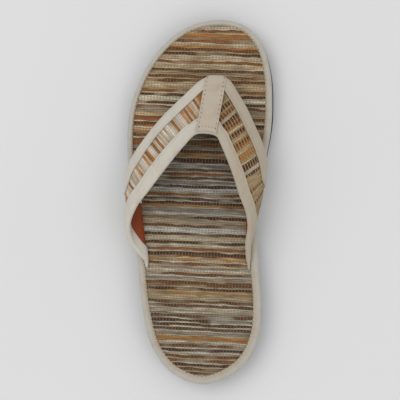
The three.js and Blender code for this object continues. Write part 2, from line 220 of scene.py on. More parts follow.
def underside(y):
    waist = (HEEL_SEAT_END + BALL_REST_START) / 2
    return tip_lift(y) + ARCH_RISE * ease(HEEL_SEAT_END, waist, y) * (1 - ease(waist, BALL_REST_START, y))


def footbed_top(y):
    return HEEL_HEIGHT + (BALL_HEIGHT - HEEL_HEIGHT) * ease(HEEL_SEAT_END, FALL_END, y) + tip_lift(y)


def footbed_bottom(y):
    return footbed_top(y) - FOOTBED_THICKNESS


def curve_between(before, start, end, after, share):
    """Smooth curve from start to end that heads off from before and on to after."""

    def reach(a, b):
        return np.maximum(np.sum((b - a) ** 2, axis=-1, keepdims=True) ** 0.25, 1e-4)

    first, middle, last = reach(before, start), reach(start, end), reach(end, after)
    leave = (start - before) / first - (end - before) / (first + middle) + (end - start) / middle
    arrive = (end - start) / middle - (after - start) / (middle + last) + (after - end) / last
    leave, arrive = leave * middle, arrive * middle
    square = 3 * (end - start) - 2 * leave - arrive
    cube = 2 * (start - end) + leave + arrive
    return start + leave * share + square * share**2 + cube * share**3


def along_curve(points, places, closed=False):
    """Points of a smooth curve through the given ones. Place 1.5 is halfway from the second to the third."""
    points = np.asarray(points, float)
    if closed:
        padded = np.vstack([points[-1:], points, points[:2]])
        segments = len(points)
    else:
        padded = np.vstack([2 * points[0] - points[1], points, 2 * points[-1] - points[-2]])
        segments = len(points) - 1
    start = np.clip(np.floor(places).astype(int), 0, segments - 1)
    share = (places - start)[:, None]
    return curve_between(*(padded[start + i] for i in range(4)), share)


outline = along_curve(OUTLINE, np.linspace(0, len(OUTLINE), OUTLINE_STEPS + 1), closed=True)


def edge_from(core, heading):
    """Where a ray from inside the outline leaves it, with the direction straight out of the edge there."""
    along = np.diff(outline, axis=0)
    away = outline[:-1] - core
    turn = heading[0] * along[:, 1] - heading[1] * along[:, 0]
    share = (away[:, 0] * heading[1] - away[:, 1] * heading[0]) / np.where(turn == 0, 1, turn)
    ahead = away[:, 0] * along[:, 1] - away[:, 1] * along[:, 0]
    hit = np.flatnonzero((turn > 0) & (ahead > 0) & (share >= 0) & (share < 1))[0]
    out = np.array([along[hit, 1], -along[hit, 0]])
    return outline[hit] + along[hit] * share[hit], out / np.linalg.norm(out)


def stations():
    """Core, edge and outward direction at each station round the outline."""
    spine = TOE_CENTRE - HEEL_CENTRE
    rays = [(HEEL_CENTRE + spine * i / SIDE_STATIONS, 0.0) for i in range(SIDE_STATIONS)]
    rays += [(TOE_CENTRE, math.pi * i / END_STATIONS) for i in range(END_STATIONS)]
    rays += [(TOE_CENTRE - spine * i / SIDE_STATIONS, math.pi) for i in range(SIDE_STATIONS)]
    rays += [(HEEL_CENTRE, math.pi * (1 + i / END_STATIONS)) for i in range(END_STATIONS)]
    found = [(core, *edge_from(core, (math.cos(angle), math.sin(angle)))) for core, angle in rays]
    return tuple(np.array(column) for column in zip(*found))


def reach_along(points):
    """Length along a line of points, at each of them."""
    steps = np.linalg.norm(np.diff(points, axis=0), axis=-1)
    return np.concatenate([[0], np.cumsum(steps)])


CORES, EDGES, OUTWARD = stations()
ROUND = reach_along(np.vstack([EDGES, EDGES[:1]]))


def sole_rings(section):
    """Rings of points round the sole, with their uv. Each row of the section has the inset from the
    outline, the share of the way from there to the spine, and the height as a function of y."""
    rings = []
    uv = []
    reach = 0.0
    for inset, inward, height in section:
        at = EDGES - OUTWARD * np.broadcast_to(inset, len(EDGES))[:, None]
        at = at + (CORES - at) * inward
        ring = np.column_stack([at, height(at[:, 1])])
        if rings:
            reach += np.median(np.linalg.norm(ring - rings[-1], axis=1))
        rings.append(ring)
        uv.append(np.column_stack([ROUND, np.full(len(ROUND), reach)]))
    return rings, uv


WELD = 1e-6
NO_LENGTH = 1e-7
SHARP_BEND = math.radians(50)


def finished(name, mesh, material):
    """Welds a mesh, turns its faces outwards, smooths it and puts it in the scene."""
    form = bmesh.new()
    form.from_mesh(mesh)
    bmesh.ops.remove_doubles(form, verts=form.verts, dist=WELD)
    bmesh.ops.dissolve_degenerate(form, edges=form.edges, dist=NO_LENGTH)
    if form.calc_volume(signed=True) < 0:
        bmesh.ops.reverse_faces(form, faces=form.faces)
    form.to_mesh(mesh)
    form.free()
    mesh.materials.append(material)
    mesh.shade_smooth()
    mesh.set_sharp_from_angle(angle=SHARP_BEND)
    return new_object(name, mesh)


def rings_object(name, rings, uv, material):
    """Object from rings of points in millimetres, each joined to the next. Each row of the uv has one point
    more than its ring, for the way back to the ring's start."""
    rows, columns = len(rings), len(rings[0])
    faces = []
    corners = []
    for r in range(rows - 1):
        for c in range(columns):
            d = (c + 1) % columns
            faces.append((r * columns + c, r * columns + d, (r + 1) * columns + d, (r + 1) * columns + c))
            corners += [uv[r][c], uv[r][c + 1], uv[r + 1][c + 1], uv[r + 1][c]]
    mesh = bpy.data.meshes.new(name)
    mesh.from_pydata((np.vstack(rings) * MM).tolist(), [], faces)
    layer = mesh.uv_layers.new(name="cloth")
    layer.data.foreach_set("uv", np.array(corners, float).ravel())
    return finished(name, mesh, material)


def above(base, rise):
    """Height of a face as a function of y, a rise over another face."""
    return lambda y: base(y) + rise


FACE_INSET = 14
TO_SPINE = (0, 0.25, 0.5, 0.75, 1)


def face_rows(inset, height):
    """Rows of a flat face, from near its rim to the spine."""
    return [(inset, 0, height)] + [(FACE_INSET, share, height) for share in TO_SPINE]


def raised(tree, shader, height, strength, depth):
    """Fine relief, as deep as the depth in metres where the height is 1."""
    bump = node(tree, "ShaderNodeBump", {"Height": height, "Strength": strength, "Distance": depth})
    connect(tree, shader, {"Normal": bump.outputs["Normal"]})


def rubber_material():
    made, tree, shader = new_material("black_rubber")
    place = node(tree, "ShaderNodeTexCoord").outputs["Object"]
    pores = noise(tree, place, scale=900.0, detail=4.0)
    cloud = noise(tree, place, scale=30.0, detail=3.0)
    colour = blend(tree, cloud, paint(24, 24, 25), paint(40, 41, 43))
    connect(tree, shader, {"Base Color": colour, "Roughness": 0.7})
    raised(tree, shader, pores, strength=0.5, depth=0.0004)
    return made


# The rubber is cut a little inside the outline, and bulges beside the ball of the foot at the big toe.
CUT_INSIDE = 0.3
BULGE = 1.1
BULGE_Y = 72
BULGE_LENGTH = 45


def rubber_proud():
    bulge = BULGE * np.exp(-(((EDGES[:, 1] - BULGE_Y) / BULGE_LENGTH) ** 2))
    return np.where(EDGES[:, 0] > 0, bulge, 0) - CUT_INSIDE


outsole_top = above(footbed_bottom, -GAP)

# Inset from the rubber's edge in millimetres, share of the way on to the spine, height.
OUTSOLE_SECTION = [
    *reversed(face_rows(1.6, underside)),
    (0.5, 0, above(underside, 0.35)),
    (0, 0, above(underside, 1.3)),
    (0, 0, above(outsole_top, -0.9)),
    (0.3, 0, above(outsole_top, -0.25)),
    (0.9, 0, outsole_top),
    *face_rows(5.3, outsole_top),
]
proud = rubber_proud()
cut_section = [(inset - proud, share, height) for inset, share, height in OUTSOLE_SECTION]
outsole_rings, outsole_uv = sole_rings(cut_section)
outsole = rings_object("rubber_outsole", outsole_rings, outsole_uv, rubber_material())
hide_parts("outsole")
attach(outsole, "root")


# Footbed: foam board covered on top with woven plant fibre, whose cover is glued down under the edge tape.
# Wefts of hand-tied fibre in natural colours run across the foot, pale and coloured by turns, and thin
# straight cotton warps run along it.
WEFT_PITCH = 1.55
WARP_PITCH = 2.38
WARP_WIDTH = 0.75
WEFTS_SLOPE = math.radians(-2.4)
CLOTH_INSET = 1.6
POINTS_PER_WEFT = 4
POINTS_PER_ROW = 49

# The wefts have round backs. The level is the share of their height that lies flush with the cloth's top.
WEFT_RELIEF = 0.22
WEFT_ROUNDNESS = 0.7
WEFT_LEVEL = 0.8

YARNS = {
    "w": (184, 178, 166),
    "p": (176, 164, 142),
    "s": (160, 138, 108),
    "g": (128, 116, 102),
    "o": (156, 106, 52),
    "r": (124, 76, 36),
    "b": (96, 62, 32),
    "d": (72, 46, 26),
}

# One letter for each weft from the toe to the heel: white, pale, straw, grey, ochre, rust, brown or dark.
FOOTBED_WEFTS = (
    "pspwrpoogrpsobsdpsprpspbgsbsbspssrpdpwpdpbggssbrpdrpsogbpb"
    "rrgsbsosddpgpbprpbpgpdwpsrpbpdosggpsdsssbpwpdspsdpsrpdbsop"
    "bsgpsbpgsbbsdsosssbpbpspgbpdpdpbpgsoopsbpdpsbsrpdsbsdspspw"
)

# Factors on red, green and blue: at the toe, at the waist, at the heel, and inside the strap's V, where the
# last is painted shade of the strap.
TOE_TINT = np.array([0.99, 0.98, 0.91])
WAIST_TINT = np.array([0.96, 1.02, 1.1])
HEEL_TINT = np.array([0.83, 0.9, 0.98])
STRAP_SHADE_TINT = np.array([0.71, 0.8, 0.93])

# Places along the sole between which the toe's and the heel's factors fade.
TOE_FADE = (30, 78)
HEEL_FADE = (-80, -45)

# Middle and half sizes of the patch of painted shade that the strap casts over the footbed inside its V, and
# of a paler patch outside the strap on the little-toe side. The shaded patch fades between two shares of its
# half sizes.
STRAP_SHADE_PATCH = (3, 18, 42, 48)
STRAP_SHADE_FADE = (0.65, 1.1)
PALE_PATCH = (-40, 64, 15, 22)
PALE_PATCH_GAIN = 0.5

# How much the warps show, how much the strands differ, and the warps' colour.
FOOTBED_WARPS = 0.32
FOOTBED_STRANDS = 0.62
FOOTBED_WARP_COLOUR = (150, 130, 102)

# Shares of a row by which a weft wanders, and by which one that has less than a share of its neighbour's
# brightness covers it.
WANDER = 0.13
DARK_COVER = 0.3
MUCH_DARKER = 0.6

# Share of light by which a weft's shade changes. A weft fades where a noise, times its gain, is over a floor.
SHADE = 0.18
FADE_GAIN = 2.4
FADE_FLOOR = 0.8

# Millimetres over which a weft wanders, changes its shade and fades.
WANDER_LENGTH = 50
SHADE_LENGTH = 60
FADE_LENGTH = 140


def slow_noise(values, seed, waves=4, longest=60.0):
    """Smooth noise from -1 to 1, fixed by its seed. Its waves grow shorter and weaker from the longest."""
    draw = np.random.default_rng(seed)
    total = np.zeros_like(np.asarray(values, float))
    for i in range(waves):
        length = longest / (1 + 1.3 * i) * draw.uniform(0.8, 1.25)
        total = total + np.sin(values * 2 * math.pi / length + draw.uniform(0, 2 * math.pi)) / (1 + 0.5 * i)
    return np.clip(total / 1.8, -1, 1)


def yarn_colours(wefts, rows, across, seed, fade=0.5):
    """Colour of the cloth at counted rows and at millimetres across them. Wefts wander and change shade a
    little, and one takes up to the fade's share of its neighbour's colour now and then, as tied lengths of
    fibre do."""
    palette = np.array([paint(*YARNS[letter]) for letter in wefts])[:, :3]
    last = len(wefts) - 1
    seam = np.round(rows).astype(int)
    wander = np.zeros(rows.shape)
    for line in np.unique(seam):
        here = seam == line
        wander[here] = WANDER * slow_noise(across[here], seed + int(line), longest=WANDER_LENGTH)
    counted = np.clip(np.floor(rows + wander).astype(int), 0, last)
    ahead = np.clip(np.floor(rows + wander + DARK_COVER).astype(int), 0, last)
    brightness = palette.mean(axis=1)
    counted = np.where(brightness[ahead] < brightness[counted] * MUCH_DARKER, ahead, counted)
    share = np.zeros(rows.shape)
    shade = np.zeros(rows.shape)
    for row in np.unique(counted):
        here = counted == row
        row_seed = seed + 7 * int(row)
        fading = slow_noise(across[here], row_seed, longest=FADE_LENGTH) * FADE_GAIN - FADE_FLOOR
        share[here] = fade * np.clip(fading, 0, 1)
        shade[here] = SHADE * slow_noise(across[here], row_seed + 3, longest=SHADE_LENGTH)
    colours = palette[counted]
    neighbour = palette[np.clip(counted + 1, 0, last)]
    colours = colours + (neighbour - colours) * share[..., None]
    return colours * (1 + shade[..., None])


def wear_and_painted_shade(x, y):
    """Factor on red, green and blue. The fibre is unworn at the toe and a little greyed at the heel. Inside
    the strap's V it is darkened and greyed as painted shade of the strap, and outside the strap on the
    little-toe side a patch is paler."""
    toe = ease(*TOE_FADE, y)[..., None]
    heel = (1 - ease(*HEEL_FADE, y))[..., None]
    from_strap_shade = np.hypot((x - STRAP_SHADE_PATCH[0]) / STRAP_SHADE_PATCH[2], (y - STRAP_SHADE_PATCH[1]) / STRAP_SHADE_PATCH[3])
    strap_shade = (1 - ease(*STRAP_SHADE_FADE, from_strap_shade))[..., None]
    tint = TOE_TINT * toe + HEEL_TINT * heel + WAIST_TINT * (1 - toe - heel)
    pale_patch = np.exp(-(((x - PALE_PATCH[0]) / PALE_PATCH[2]) ** 2) - ((y - PALE_PATCH[1]) / PALE_PATCH[3]) ** 2)[..., None]
    return (tint + (STRAP_SHADE_TINT - tint) * strap_shade) * (1 + PALE_PATCH_GAIN * pale_patch)


def weft_relief(rows):
    """Millimetres by which the wefts' backs stand over the cloth's top, or lie under it between two."""
    back = np.abs(np.sin(math.pi * rows)) ** WEFT_ROUNDNESS
    return (back - WEFT_LEVEL) * WEFT_RELIEF


def colour_points(mesh, colours, warps):
    """Writes the yarn's colour on each point, and how much the warps show there."""
    layer = mesh.attributes.new("yarn", "FLOAT_COLOR", "POINT")
    flat = np.column_stack([colours.reshape(-1, 3), np.broadcast_to(warps, colours.shape[:-1]).ravel()])
    layer.data.foreach_set("color", flat.astype(np.float32).ravel())


def maths(tree, operation, *values, clamp=False):
    made = node(tree, "ShaderNodeMath", dict(enumerate(values)), operation=operation, use_clamp=clamp)
    return made.outputs[0]


def span(tree, value, start, end):
    """From start to end as the value goes from 0 to 1."""
    return maths(tree, "MULTIPLY_ADD", value, end - start, start)


def soft_step(tree, value, start, end):
    """From 0 at the start to 1 at the end, which may be the lower of the two."""
    made = node(tree, "ShaderNodeMapRange", {"Value": value}, interpolation_type="SMOOTHSTEP")
    made.inputs["From Min"].default_value = min(start, end)
    made.inputs["From Max"].default_value = max(start, end)
    made.inputs["To Min"].default_value = 0 if start < end else 1
    made.inputs["To Max"].default_value = 1 if start < end else 0
    return made.outputs["Result"]


def point(tree, x, y, z=0.0):
    return node(tree, "ShaderNodeCombineXYZ", {"X": x, "Y": y, "Z": z}).outputs[0]


def grey(tree, tone):
    return node(tree, "ShaderNodeCombineColor", {"Red": tone, "Green": tone, "Blue": tone}).outputs[0]


def new_group(name, inputs, outputs):
    group = bpy.data.node_groups.new(name, "ShaderNodeTree")
    kinds = {"colour": "NodeSocketColor", "value": "NodeSocketFloat"}
    for socket, kind, start in inputs:
        made = group.interface.new_socket(socket, in_out="INPUT", socket_type=kinds[kind])
        made.default_value = start
    for socket, kind in outputs:
        group.interface.new_socket(socket, in_out="OUTPUT", socket_type=kinds[kind])
    given = group.nodes.new("NodeGroupInput").outputs
    return group, given, group.nodes.new("NodeGroupOutput")


# Fibres and strands in a millimetre of the cloth, along a weft and across it, and the shift of the fibres'
# pattern from one weft to the next.
FIBRES_ALONG = 0.25
FIBRES_ACROSS = 4.0
FIBRE_SHIFT = 3.7
STRANDS_ALONG = 0.06
STRANDS_ACROSS = 1.9
DARK_STRAND = (0.36, 0.26, 0.17, 1)
PALE_STRAND = (1.6, 1.65, 1.75, 1)

# Millimetres by which a warp strays, over which its edge is soft and over which the cloth beside it sinks and
# is darkened with painted shade.
WARP_STRAYS = 1.2
WARP_EDGE = 0.16
WARP_SINKS = 0.5


def plaited_fibre_group():
    """Fibre wefts held by thin cotton warps. Across and Rows are places in millimetres along a weft and
    square to the wefts. Warp Cover is how much the warps show, and Strands how much the strands differ."""
    group, given, result = new_group(
        "plaited_fibre",
        [
            ("Yarn", "colour", (0.5, 0.4, 0.3, 1)),
            ("Across", "value", 0),
            ("Rows", "value", 0),
            ("Weft Pitch", "value", WEFT_PITCH),
            ("Warp Pitch", "value", WARP_PITCH),
            ("Warp Cover", "value", 0.5),
            ("Strands", "value", 0.6),
            ("Warp Colour", "colour", paint(158, 148, 126)),
        ],
        [("Color", "colour"), ("Height", "value"), ("Roughness", "value")],
    )
    counted = maths(group, "DIVIDE", given["Rows"], given["Weft Pitch"])
    row = maths(group, "FLOOR", counted)
    in_row = maths(group, "SUBTRACT", counted, row)
    back = maths(group, "SINE", maths(group, "MULTIPLY", in_row, math.pi))
    drift = noise(group, point(group, given["Across"], given["Rows"]), scale=0.06, detail=1.0)
    moved = maths(group, "ADD", given["Across"], maths(group, "MULTIPLY", drift, WARP_STRAYS))
    warp = maths(group, "DIVIDE", moved, given["Warp Pitch"])
    from_warp = maths(group, "ABSOLUTE", maths(group, "SUBTRACT", maths(group, "FRACT", warp), 0.5))
    from_warp = maths(group, "MULTIPLY", from_warp, given["Warp Pitch"])
    half = WARP_WIDTH / 2
    thread = soft_step(group, from_warp, half + WARP_EDGE, half - WARP_EDGE)
    beside = soft_step(group, from_warp, half + WARP_SINKS, half)
    crossing = point(group, maths(group, "FLOOR", warp), row)
    chance = node(group, "ShaderNodeTexWhiteNoise", {"Vector": crossing}, noise_dimensions="2D")
    cover = span(group, chance.outputs["Value"], 0.55, 1.15)
    cover = maths(group, "MULTIPLY", given["Warp Cover"], cover)
    cover = maths(group, "MULTIPLY", thread, cover, clamp=True)
    along = maths(group, "MULTIPLY", given["Across"], FIBRES_ALONG)
    across = maths(group, "MULTIPLY", given["Rows"], FIBRES_ACROSS)
    streaks = point(group, along, across, maths(group, "MULTIPLY", row, FIBRE_SHIFT))
    fibres = noise(group, streaks, scale=1.0, detail=3.0)
    along = maths(group, "MULTIPLY", given["Across"], STRANDS_ALONG)
    across = maths(group, "MULTIPLY", given["Rows"], STRANDS_ACROSS)
    strands = noise(group, point(group, along, across), scale=1.0, detail=2.0)
    dark = maths(group, "MULTIPLY", soft_step(group, strands, 0.52, 0.62), given["Strands"])
    pale = maths(group, "MULTIPLY", soft_step(group, strands, 0.44, 0.35), given["Strands"])
    # Painted shade: the fibre is darkened in the grooves between the wefts' backs and beside each warp.
    valley_shade = span(group, soft_step(group, back, 0.0, 0.6), 0.64, 1.0)
    shadow = span(group, maths(group, "MULTIPLY", beside, given["Warp Cover"]), 1.0, 0.4)
    tone = maths(group, "MULTIPLY", span(group, fibres, 0.34, 1.64), valley_shade)
    tone = maths(group, "MULTIPLY", tone, shadow)
    colour = blend(group, dark, given["Yarn"], DARK_STRAND, "MULTIPLY")
    colour = blend(group, pale, colour, PALE_STRAND, "MULTIPLY")
    colour = blend(group, 1.0, colour, grey(group, tone), "MULTIPLY")
    colour = blend(group, cover, colour, given["Warp Colour"])
    height = maths(group, "MULTIPLY", back, span(group, beside, 0.9, 0.6))
    height = maths(group, "MULTIPLY_ADD", thread, 0.4, height)
    height = maths(group, "MULTIPLY_ADD", fibres, 0.35, height)
    roughness = span(group, fibres, 0.55, 0.8)
    connect(group, result, {"Color": colour, "Height": height, "Roughness": roughness})
    return group


PLAITED_FIBRE = plaited_fibre_group()


def uv_place(tree):
    """Places in millimetres along and across a piece of cloth."""
    place = node(tree, "ShaderNodeUVMap", uv_map="cloth").outputs["UV"]
    return node(tree, "ShaderNodeSeparateXYZ", {"Vector": place}).outputs


def woven_material(name, warp_colour, strands):
    made, tree, shader = new_material(name)
    yarn = node(tree, "ShaderNodeAttribute", attribute_name="yarn").outputs
    place = uv_place(tree)
    inputs = {
        "Yarn": yarn["Color"],
        "Warp Cover": yarn["Alpha"],
        "Across": place["X"],
        "Rows": place["Y"],
        "Warp Colour": warp_colour,
        "Strands": strands,
    }
    weave = node(tree, "ShaderNodeGroup", inputs, node_tree=PLAITED_FIBRE).outputs
    connect(tree, shader, {"Base Color": weave["Color"], "Roughness": weave["Roughness"]})
    connect(tree, shader, {"Specular IOR Level": 0.2})
    raised(tree, shader, weave["Height"], strength=0.6, depth=0.0003)
    return made


# Millimetres by which the cloth stops short at the tips of the toe and the heel, by which it lies under the
# footbed's height, and by which it swells here and there.
TIP_MARGIN = 0.05
CLOTH_SINKS = 0.12
CLOTH_SWELLS = 0.12

# Millimetres by which the wefts swing to and fro in wide and narrow waves, and from the cloth's sides and
# tips over which swings and swells fade in.
WIDE_SWING = 0.3
NARROW_SWING = 0.14
STEADY_SIDES = 3
STEADY_TIPS = 4


def footbed_cloth():
    """Points of the cloth's top in rows that run with the wefts, with their uv, counted row and place
    across."""
    cover = EDGES - OUTWARD * CLOTH_INSET
    cos, sin = math.cos(WEFTS_SLOPE), math.sin(WEFTS_SLOPE)
    turned = np.column_stack([cover @ [cos, sin], cover @ [-sin, cos]])
    top, bottom = turned[:, 1].max() - TIP_MARGIN, turned[:, 1].min() + TIP_MARGIN
    first, last = turned[:, 1].argmax(), turned[:, 1].argmin()
    ring = np.roll(turned, -first, axis=0)
    heel = (last - first) % len(ring)
    left, right = ring[: heel + 1], np.vstack([ring[heel:], ring[:1]])
    count = int((top - bottom) / WEFT_PITCH * POINTS_PER_WEFT)
    row_places = top - np.arange(count + 1) * (top - bottom) / count
    from_left = np.interp(-row_places, -left[:, 1], left[:, 0])
    from_right = np.interp(row_places, right[:, 1], right[:, 0])
    share = np.linspace(0, 1, POINTS_PER_ROW)
    u = from_left[:, None] + (from_right - from_left)[:, None] * share
    v = np.repeat(row_places[:, None], share.size, axis=1)
    inside = np.minimum(share, 1 - share)[None, :] * (from_right - from_left)[:, None]
    steady = ease(0, STEADY_SIDES, inside) * ease(0, STEADY_TIPS, np.minimum(top - v, v - bottom))
    wide_wave = WIDE_SWING * slow_noise(u + 2 * v, seed=11, longest=70)
    narrow_wave = NARROW_SWING * slow_noise(u - 5 * v, seed=12, longest=30)
    moved = v + (wide_wave + narrow_wave) * steady
    x, y = u * cos - moved * sin, u * sin + moved * cos
    counted = (top - v) / WEFT_PITCH
    relief = weft_relief(counted) * steady - CLOTH_SINKS
    swells = CLOTH_SWELLS * slow_noise(x + 1.7 * y, seed=14, longest=45)
    z = footbed_top(y) + relief + swells * steady
    points = np.stack([x, y, z], axis=-1)
    return points, np.stack([u, counted * WEFT_PITCH], axis=-1), counted, u


def lidded_sheet(name, top, bottom, uv):
    """Closed mesh between two equal grids of points in millimetres, with walls all round."""
    rows, columns = top.shape[:2]
    points = np.vstack([top.reshape(-1, 3), bottom.reshape(-1, 3)])
    index = np.arange(rows * columns).reshape(rows, columns)
    under = index + rows * columns
    flat = uv.reshape(-1, 2)
    faces = []
    for r in range(rows - 1):
        for c in range(columns - 1):
            field = (index[r, c], index[r, c + 1], index[r + 1, c + 1], index[r + 1, c])
            faces.append(field)
            faces.append(tuple(under.ravel()[i] for i in reversed(field)))
    rim = [*index[0, :], *index[1:, -1], *index[-1, -2::-1], *index[-2:0:-1, 0]]
    for a, b in zip(rim, rim[1:] + rim[:1]):
        faces.append((b, a, a + rows * columns, b + rows * columns))
    mesh = bpy.data.meshes.new(name)
    mesh.from_pydata((points * MM).tolist(), [], faces)
    layer = mesh.uv_layers.new(name="cloth")
    corner = np.array([i % (rows * columns) for face in faces for i in face])
    layer.data.foreach_set("uv", flat[corner].ravel())
    return mesh


cloth_top, cloth_uv, cloth_rows, cloth_across = footbed_cloth()
cloth_bottom = cloth_top.copy()
cloth_bottom[..., 2] = footbed_bottom(cloth_bottom[..., 1])
colours = yarn_colours(FOOTBED_WEFTS, cloth_rows, cloth_across, seed=100)
# The fibre's tints along the sole, with painted shade where the strap shades it inside its V.
colours = colours * wear_and_painted_shade(cloth_top[..., 0], cloth_top[..., 1])
fibre_cloth = woven_material("footbed_fibre_cloth", paint(*FOOTBED_WARP_COLOUR), FOOTBED_STRANDS)
mesh = lidded_sheet("footbed_cloth", cloth_top, cloth_bottom, cloth_uv)
colour_points(mesh, np.concatenate([colours.reshape(-1, 3)] * 2), FOOTBED_WARPS)
footbed = finished("footbed_cloth", mesh, fibre_cloth)
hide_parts("footbed")
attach(footbed, "root")


# Footbed tape: woven cotton tape folded over the footbed's edge and sewn through, so that it grips the
# cloth. It puckers a little where the edge bends, and dark needle marks show along its inner edge.
TAPE = 0.8
UNDER_WIDTH = 5.0
EDGE_TAPE_WIDTH = 5.1
WIDER_AT_HEEL = 1.1
WIDER_INSIDE = 0.5
HALF_WIDTH = 54.0

# The needle marks lie this far inside the tape's inner edge, and this high over the footbed.
SEAM_INSET = 0.35
SEAM_RISE = 0.98

# Deep and fine puckers in millimetres.
DEEP_PUCKER = 0.16
FINE_PUCKER = 0.1


def edge_tape_width(edge):
    """Width of the tape on top of the footbed: wider at the heel and on the big-toe side."""
    return EDGE_TAPE_WIDTH - WIDER_AT_HEEL * edge[..., 1] / TIP_Y + WIDER_INSIDE * edge[..., 0] / HALF_WIDTH


def cotton_tape_group():
    """Close cotton weave with a soft nap and uneven soiling. Length and Width are places along and across
    the tape in millimetres."""
    group, given, result = new_group(
        "cotton_tape",
        [
            ("Cotton", "colour", (0.5, 0.4, 0.3, 1)),
            ("Soil Colour", "colour", paint(150, 126, 96)),
            ("Soil", "value", 0.35),
            ("Length", "value", 0),
            ("Width", "value", 0),
            ("Thread Pitch", "value", 0.55),
        ],
        [("Color", "colour"), ("Height", "value")],
    )
    length = maths(group, "DIVIDE", given["Length"], given["Thread Pitch"])
    width = maths(group, "DIVIDE", given["Width"], given["Thread Pitch"])
    ribs = maths(group, "SINE", maths(group, "MULTIPLY", length, math.pi))
    threads = maths(group, "SINE", maths(group, "MULTIPLY", width, math.pi))
    weave = maths(group, "MULTIPLY", ribs, threads)
    place = point(group, given["Length"], given["Width"])
    stains = noise(group, place, scale=0.09, detail=4.0, roughness=0.6)
    flecks = noise(group, place, scale=1.1, detail=4.0, roughness=0.7)
    soil = maths(group, "MULTIPLY", soft_step(group, stains, 0.42, 0.75), given["Soil"])
    colour = blend(group, soil, given["Cotton"], given["Soil Colour"])
    tone = maths(group, "MULTIPLY_ADD", weave, 0.05, span(group, flecks, 0.87, 1.13))
    colour = blend(group, 1.0, colour, grey(group, tone), "MULTIPLY")
    height = maths(group, "MULTIPLY_ADD", flecks, 1.2, maths(group, "MULTIPLY", weave, 0.5))
    connect(group, result, {"Color": colour, "Height": height})
    return group


COTTON_TAPE = cotton_tape_group()

# Dirt in a fold, and the places between which the painted shade of the big-toe side comes in.
FOLD_DIRT = (158, 134, 102)
PAINTED_SHADE_FADE = (-5 * MM, 30 * MM)


def tape_material(name, cotton, soil=0.35, fold=None, shaded_cotton=None):
    """Cotton tape. A fold is a place across the tape, its half width and how much dirt has settled there. Or
    the tape has a darker colour on the big-toe side, painted shade of the side turned from the main lamp."""
    made, tree, shader = new_material(name)
    place = uv_place(tree)
    colour = cotton
    if fold:
        middle, half, dirt = fold
        away = maths(tree, "ABSOLUTE", maths(tree, "SUBTRACT", place["Y"], middle))
        near = maths(tree, "MULTIPLY", soft_step(tree, away, half, half * 0.2), dirt)
        colour = blend(tree, near, cotton, paint(*FOLD_DIRT))
    if shaded_cotton:
        where = node(tree, "ShaderNodeTexCoord").outputs["Object"]
        where = node(tree, "ShaderNodeSeparateXYZ", {"Vector": where}).outputs
        colour = blend(tree, soft_step(tree, where["X"], *PAINTED_SHADE_FADE), cotton, shaded_cotton)
    inputs = {"Length": place["X"], "Width": place["Y"], "Soil": soil, "Cotton": colour}
    tape = node(tree, "ShaderNodeGroup", inputs, node_tree=COTTON_TAPE).outputs
    connect(tree, shader, {"Base Color": tape["Color"], "Roughness": 0.9, "Sheen Weight": 0.15})
    raised(tree, shader, tape["Height"], strength=0.4, depth=0.0002)
    return made


def footbed_tape_object(material):
    deep = DEEP_PUCKER * slow_noise(ROUND[:-1], seed=21, waves=6, longest=26)
    pucker = deep + FINE_PUCKER * slow_noise(ROUND[:-1], seed=22, longest=7)
    wide = edge_tape_width(EDGES)
    under, over = footbed_bottom, footbed_top
    # Inset from the footbed's edge, the face it lies on, rise over that face, share of the puckers.
    section = [
        (UNDER_WIDTH, under, 0, 0),
        (0.7, under, 0, 0),
        (0.2, under, 0.2, 0),
        (0, under, 0.7, 0.3),
        (0, under, 2.2, 0.6),
        (0, over, -1.3, 1),
        (0.15, over, -0.6, 1),
        (0.55, over, 0, 1),
        (1.2, over, 0.5, 1),
        (2.1, over, 0.85, 1),
        (2.9, over, 1.1, 1),
        (wide - 0.9, over, 1.1, 0.7),
        (wide - 0.4, over, 0.95, 0.4),
        (wide, over, 0.72, 0.2),
        (wide + 0.1, over, 0.4, 0),
        (wide - 0.1, over, 0.15, 0),
        (wide - 1.2, over, 0.25, 0),
        (1.7, over, -0.2, 0),
        (TAPE, over, -1.9, 0),
        (TAPE, under, TAPE, 0),
        (UNDER_WIDTH, under, TAPE, 0),
    ]
    laid = [(inset, 0, above(above(face, rise), pucker * loose)) for inset, face, rise, loose in section]
    rings, uv = sole_rings(laid)
    rings.append(rings[0])
    uv.append(uv[-1])
    return rings_object("footbed_edge_tape", rings, uv, material)


# Each stitch is drawn between these shares of its size.
SMALLEST_STITCH = 0.75
LARGEST_STITCH = 1.15


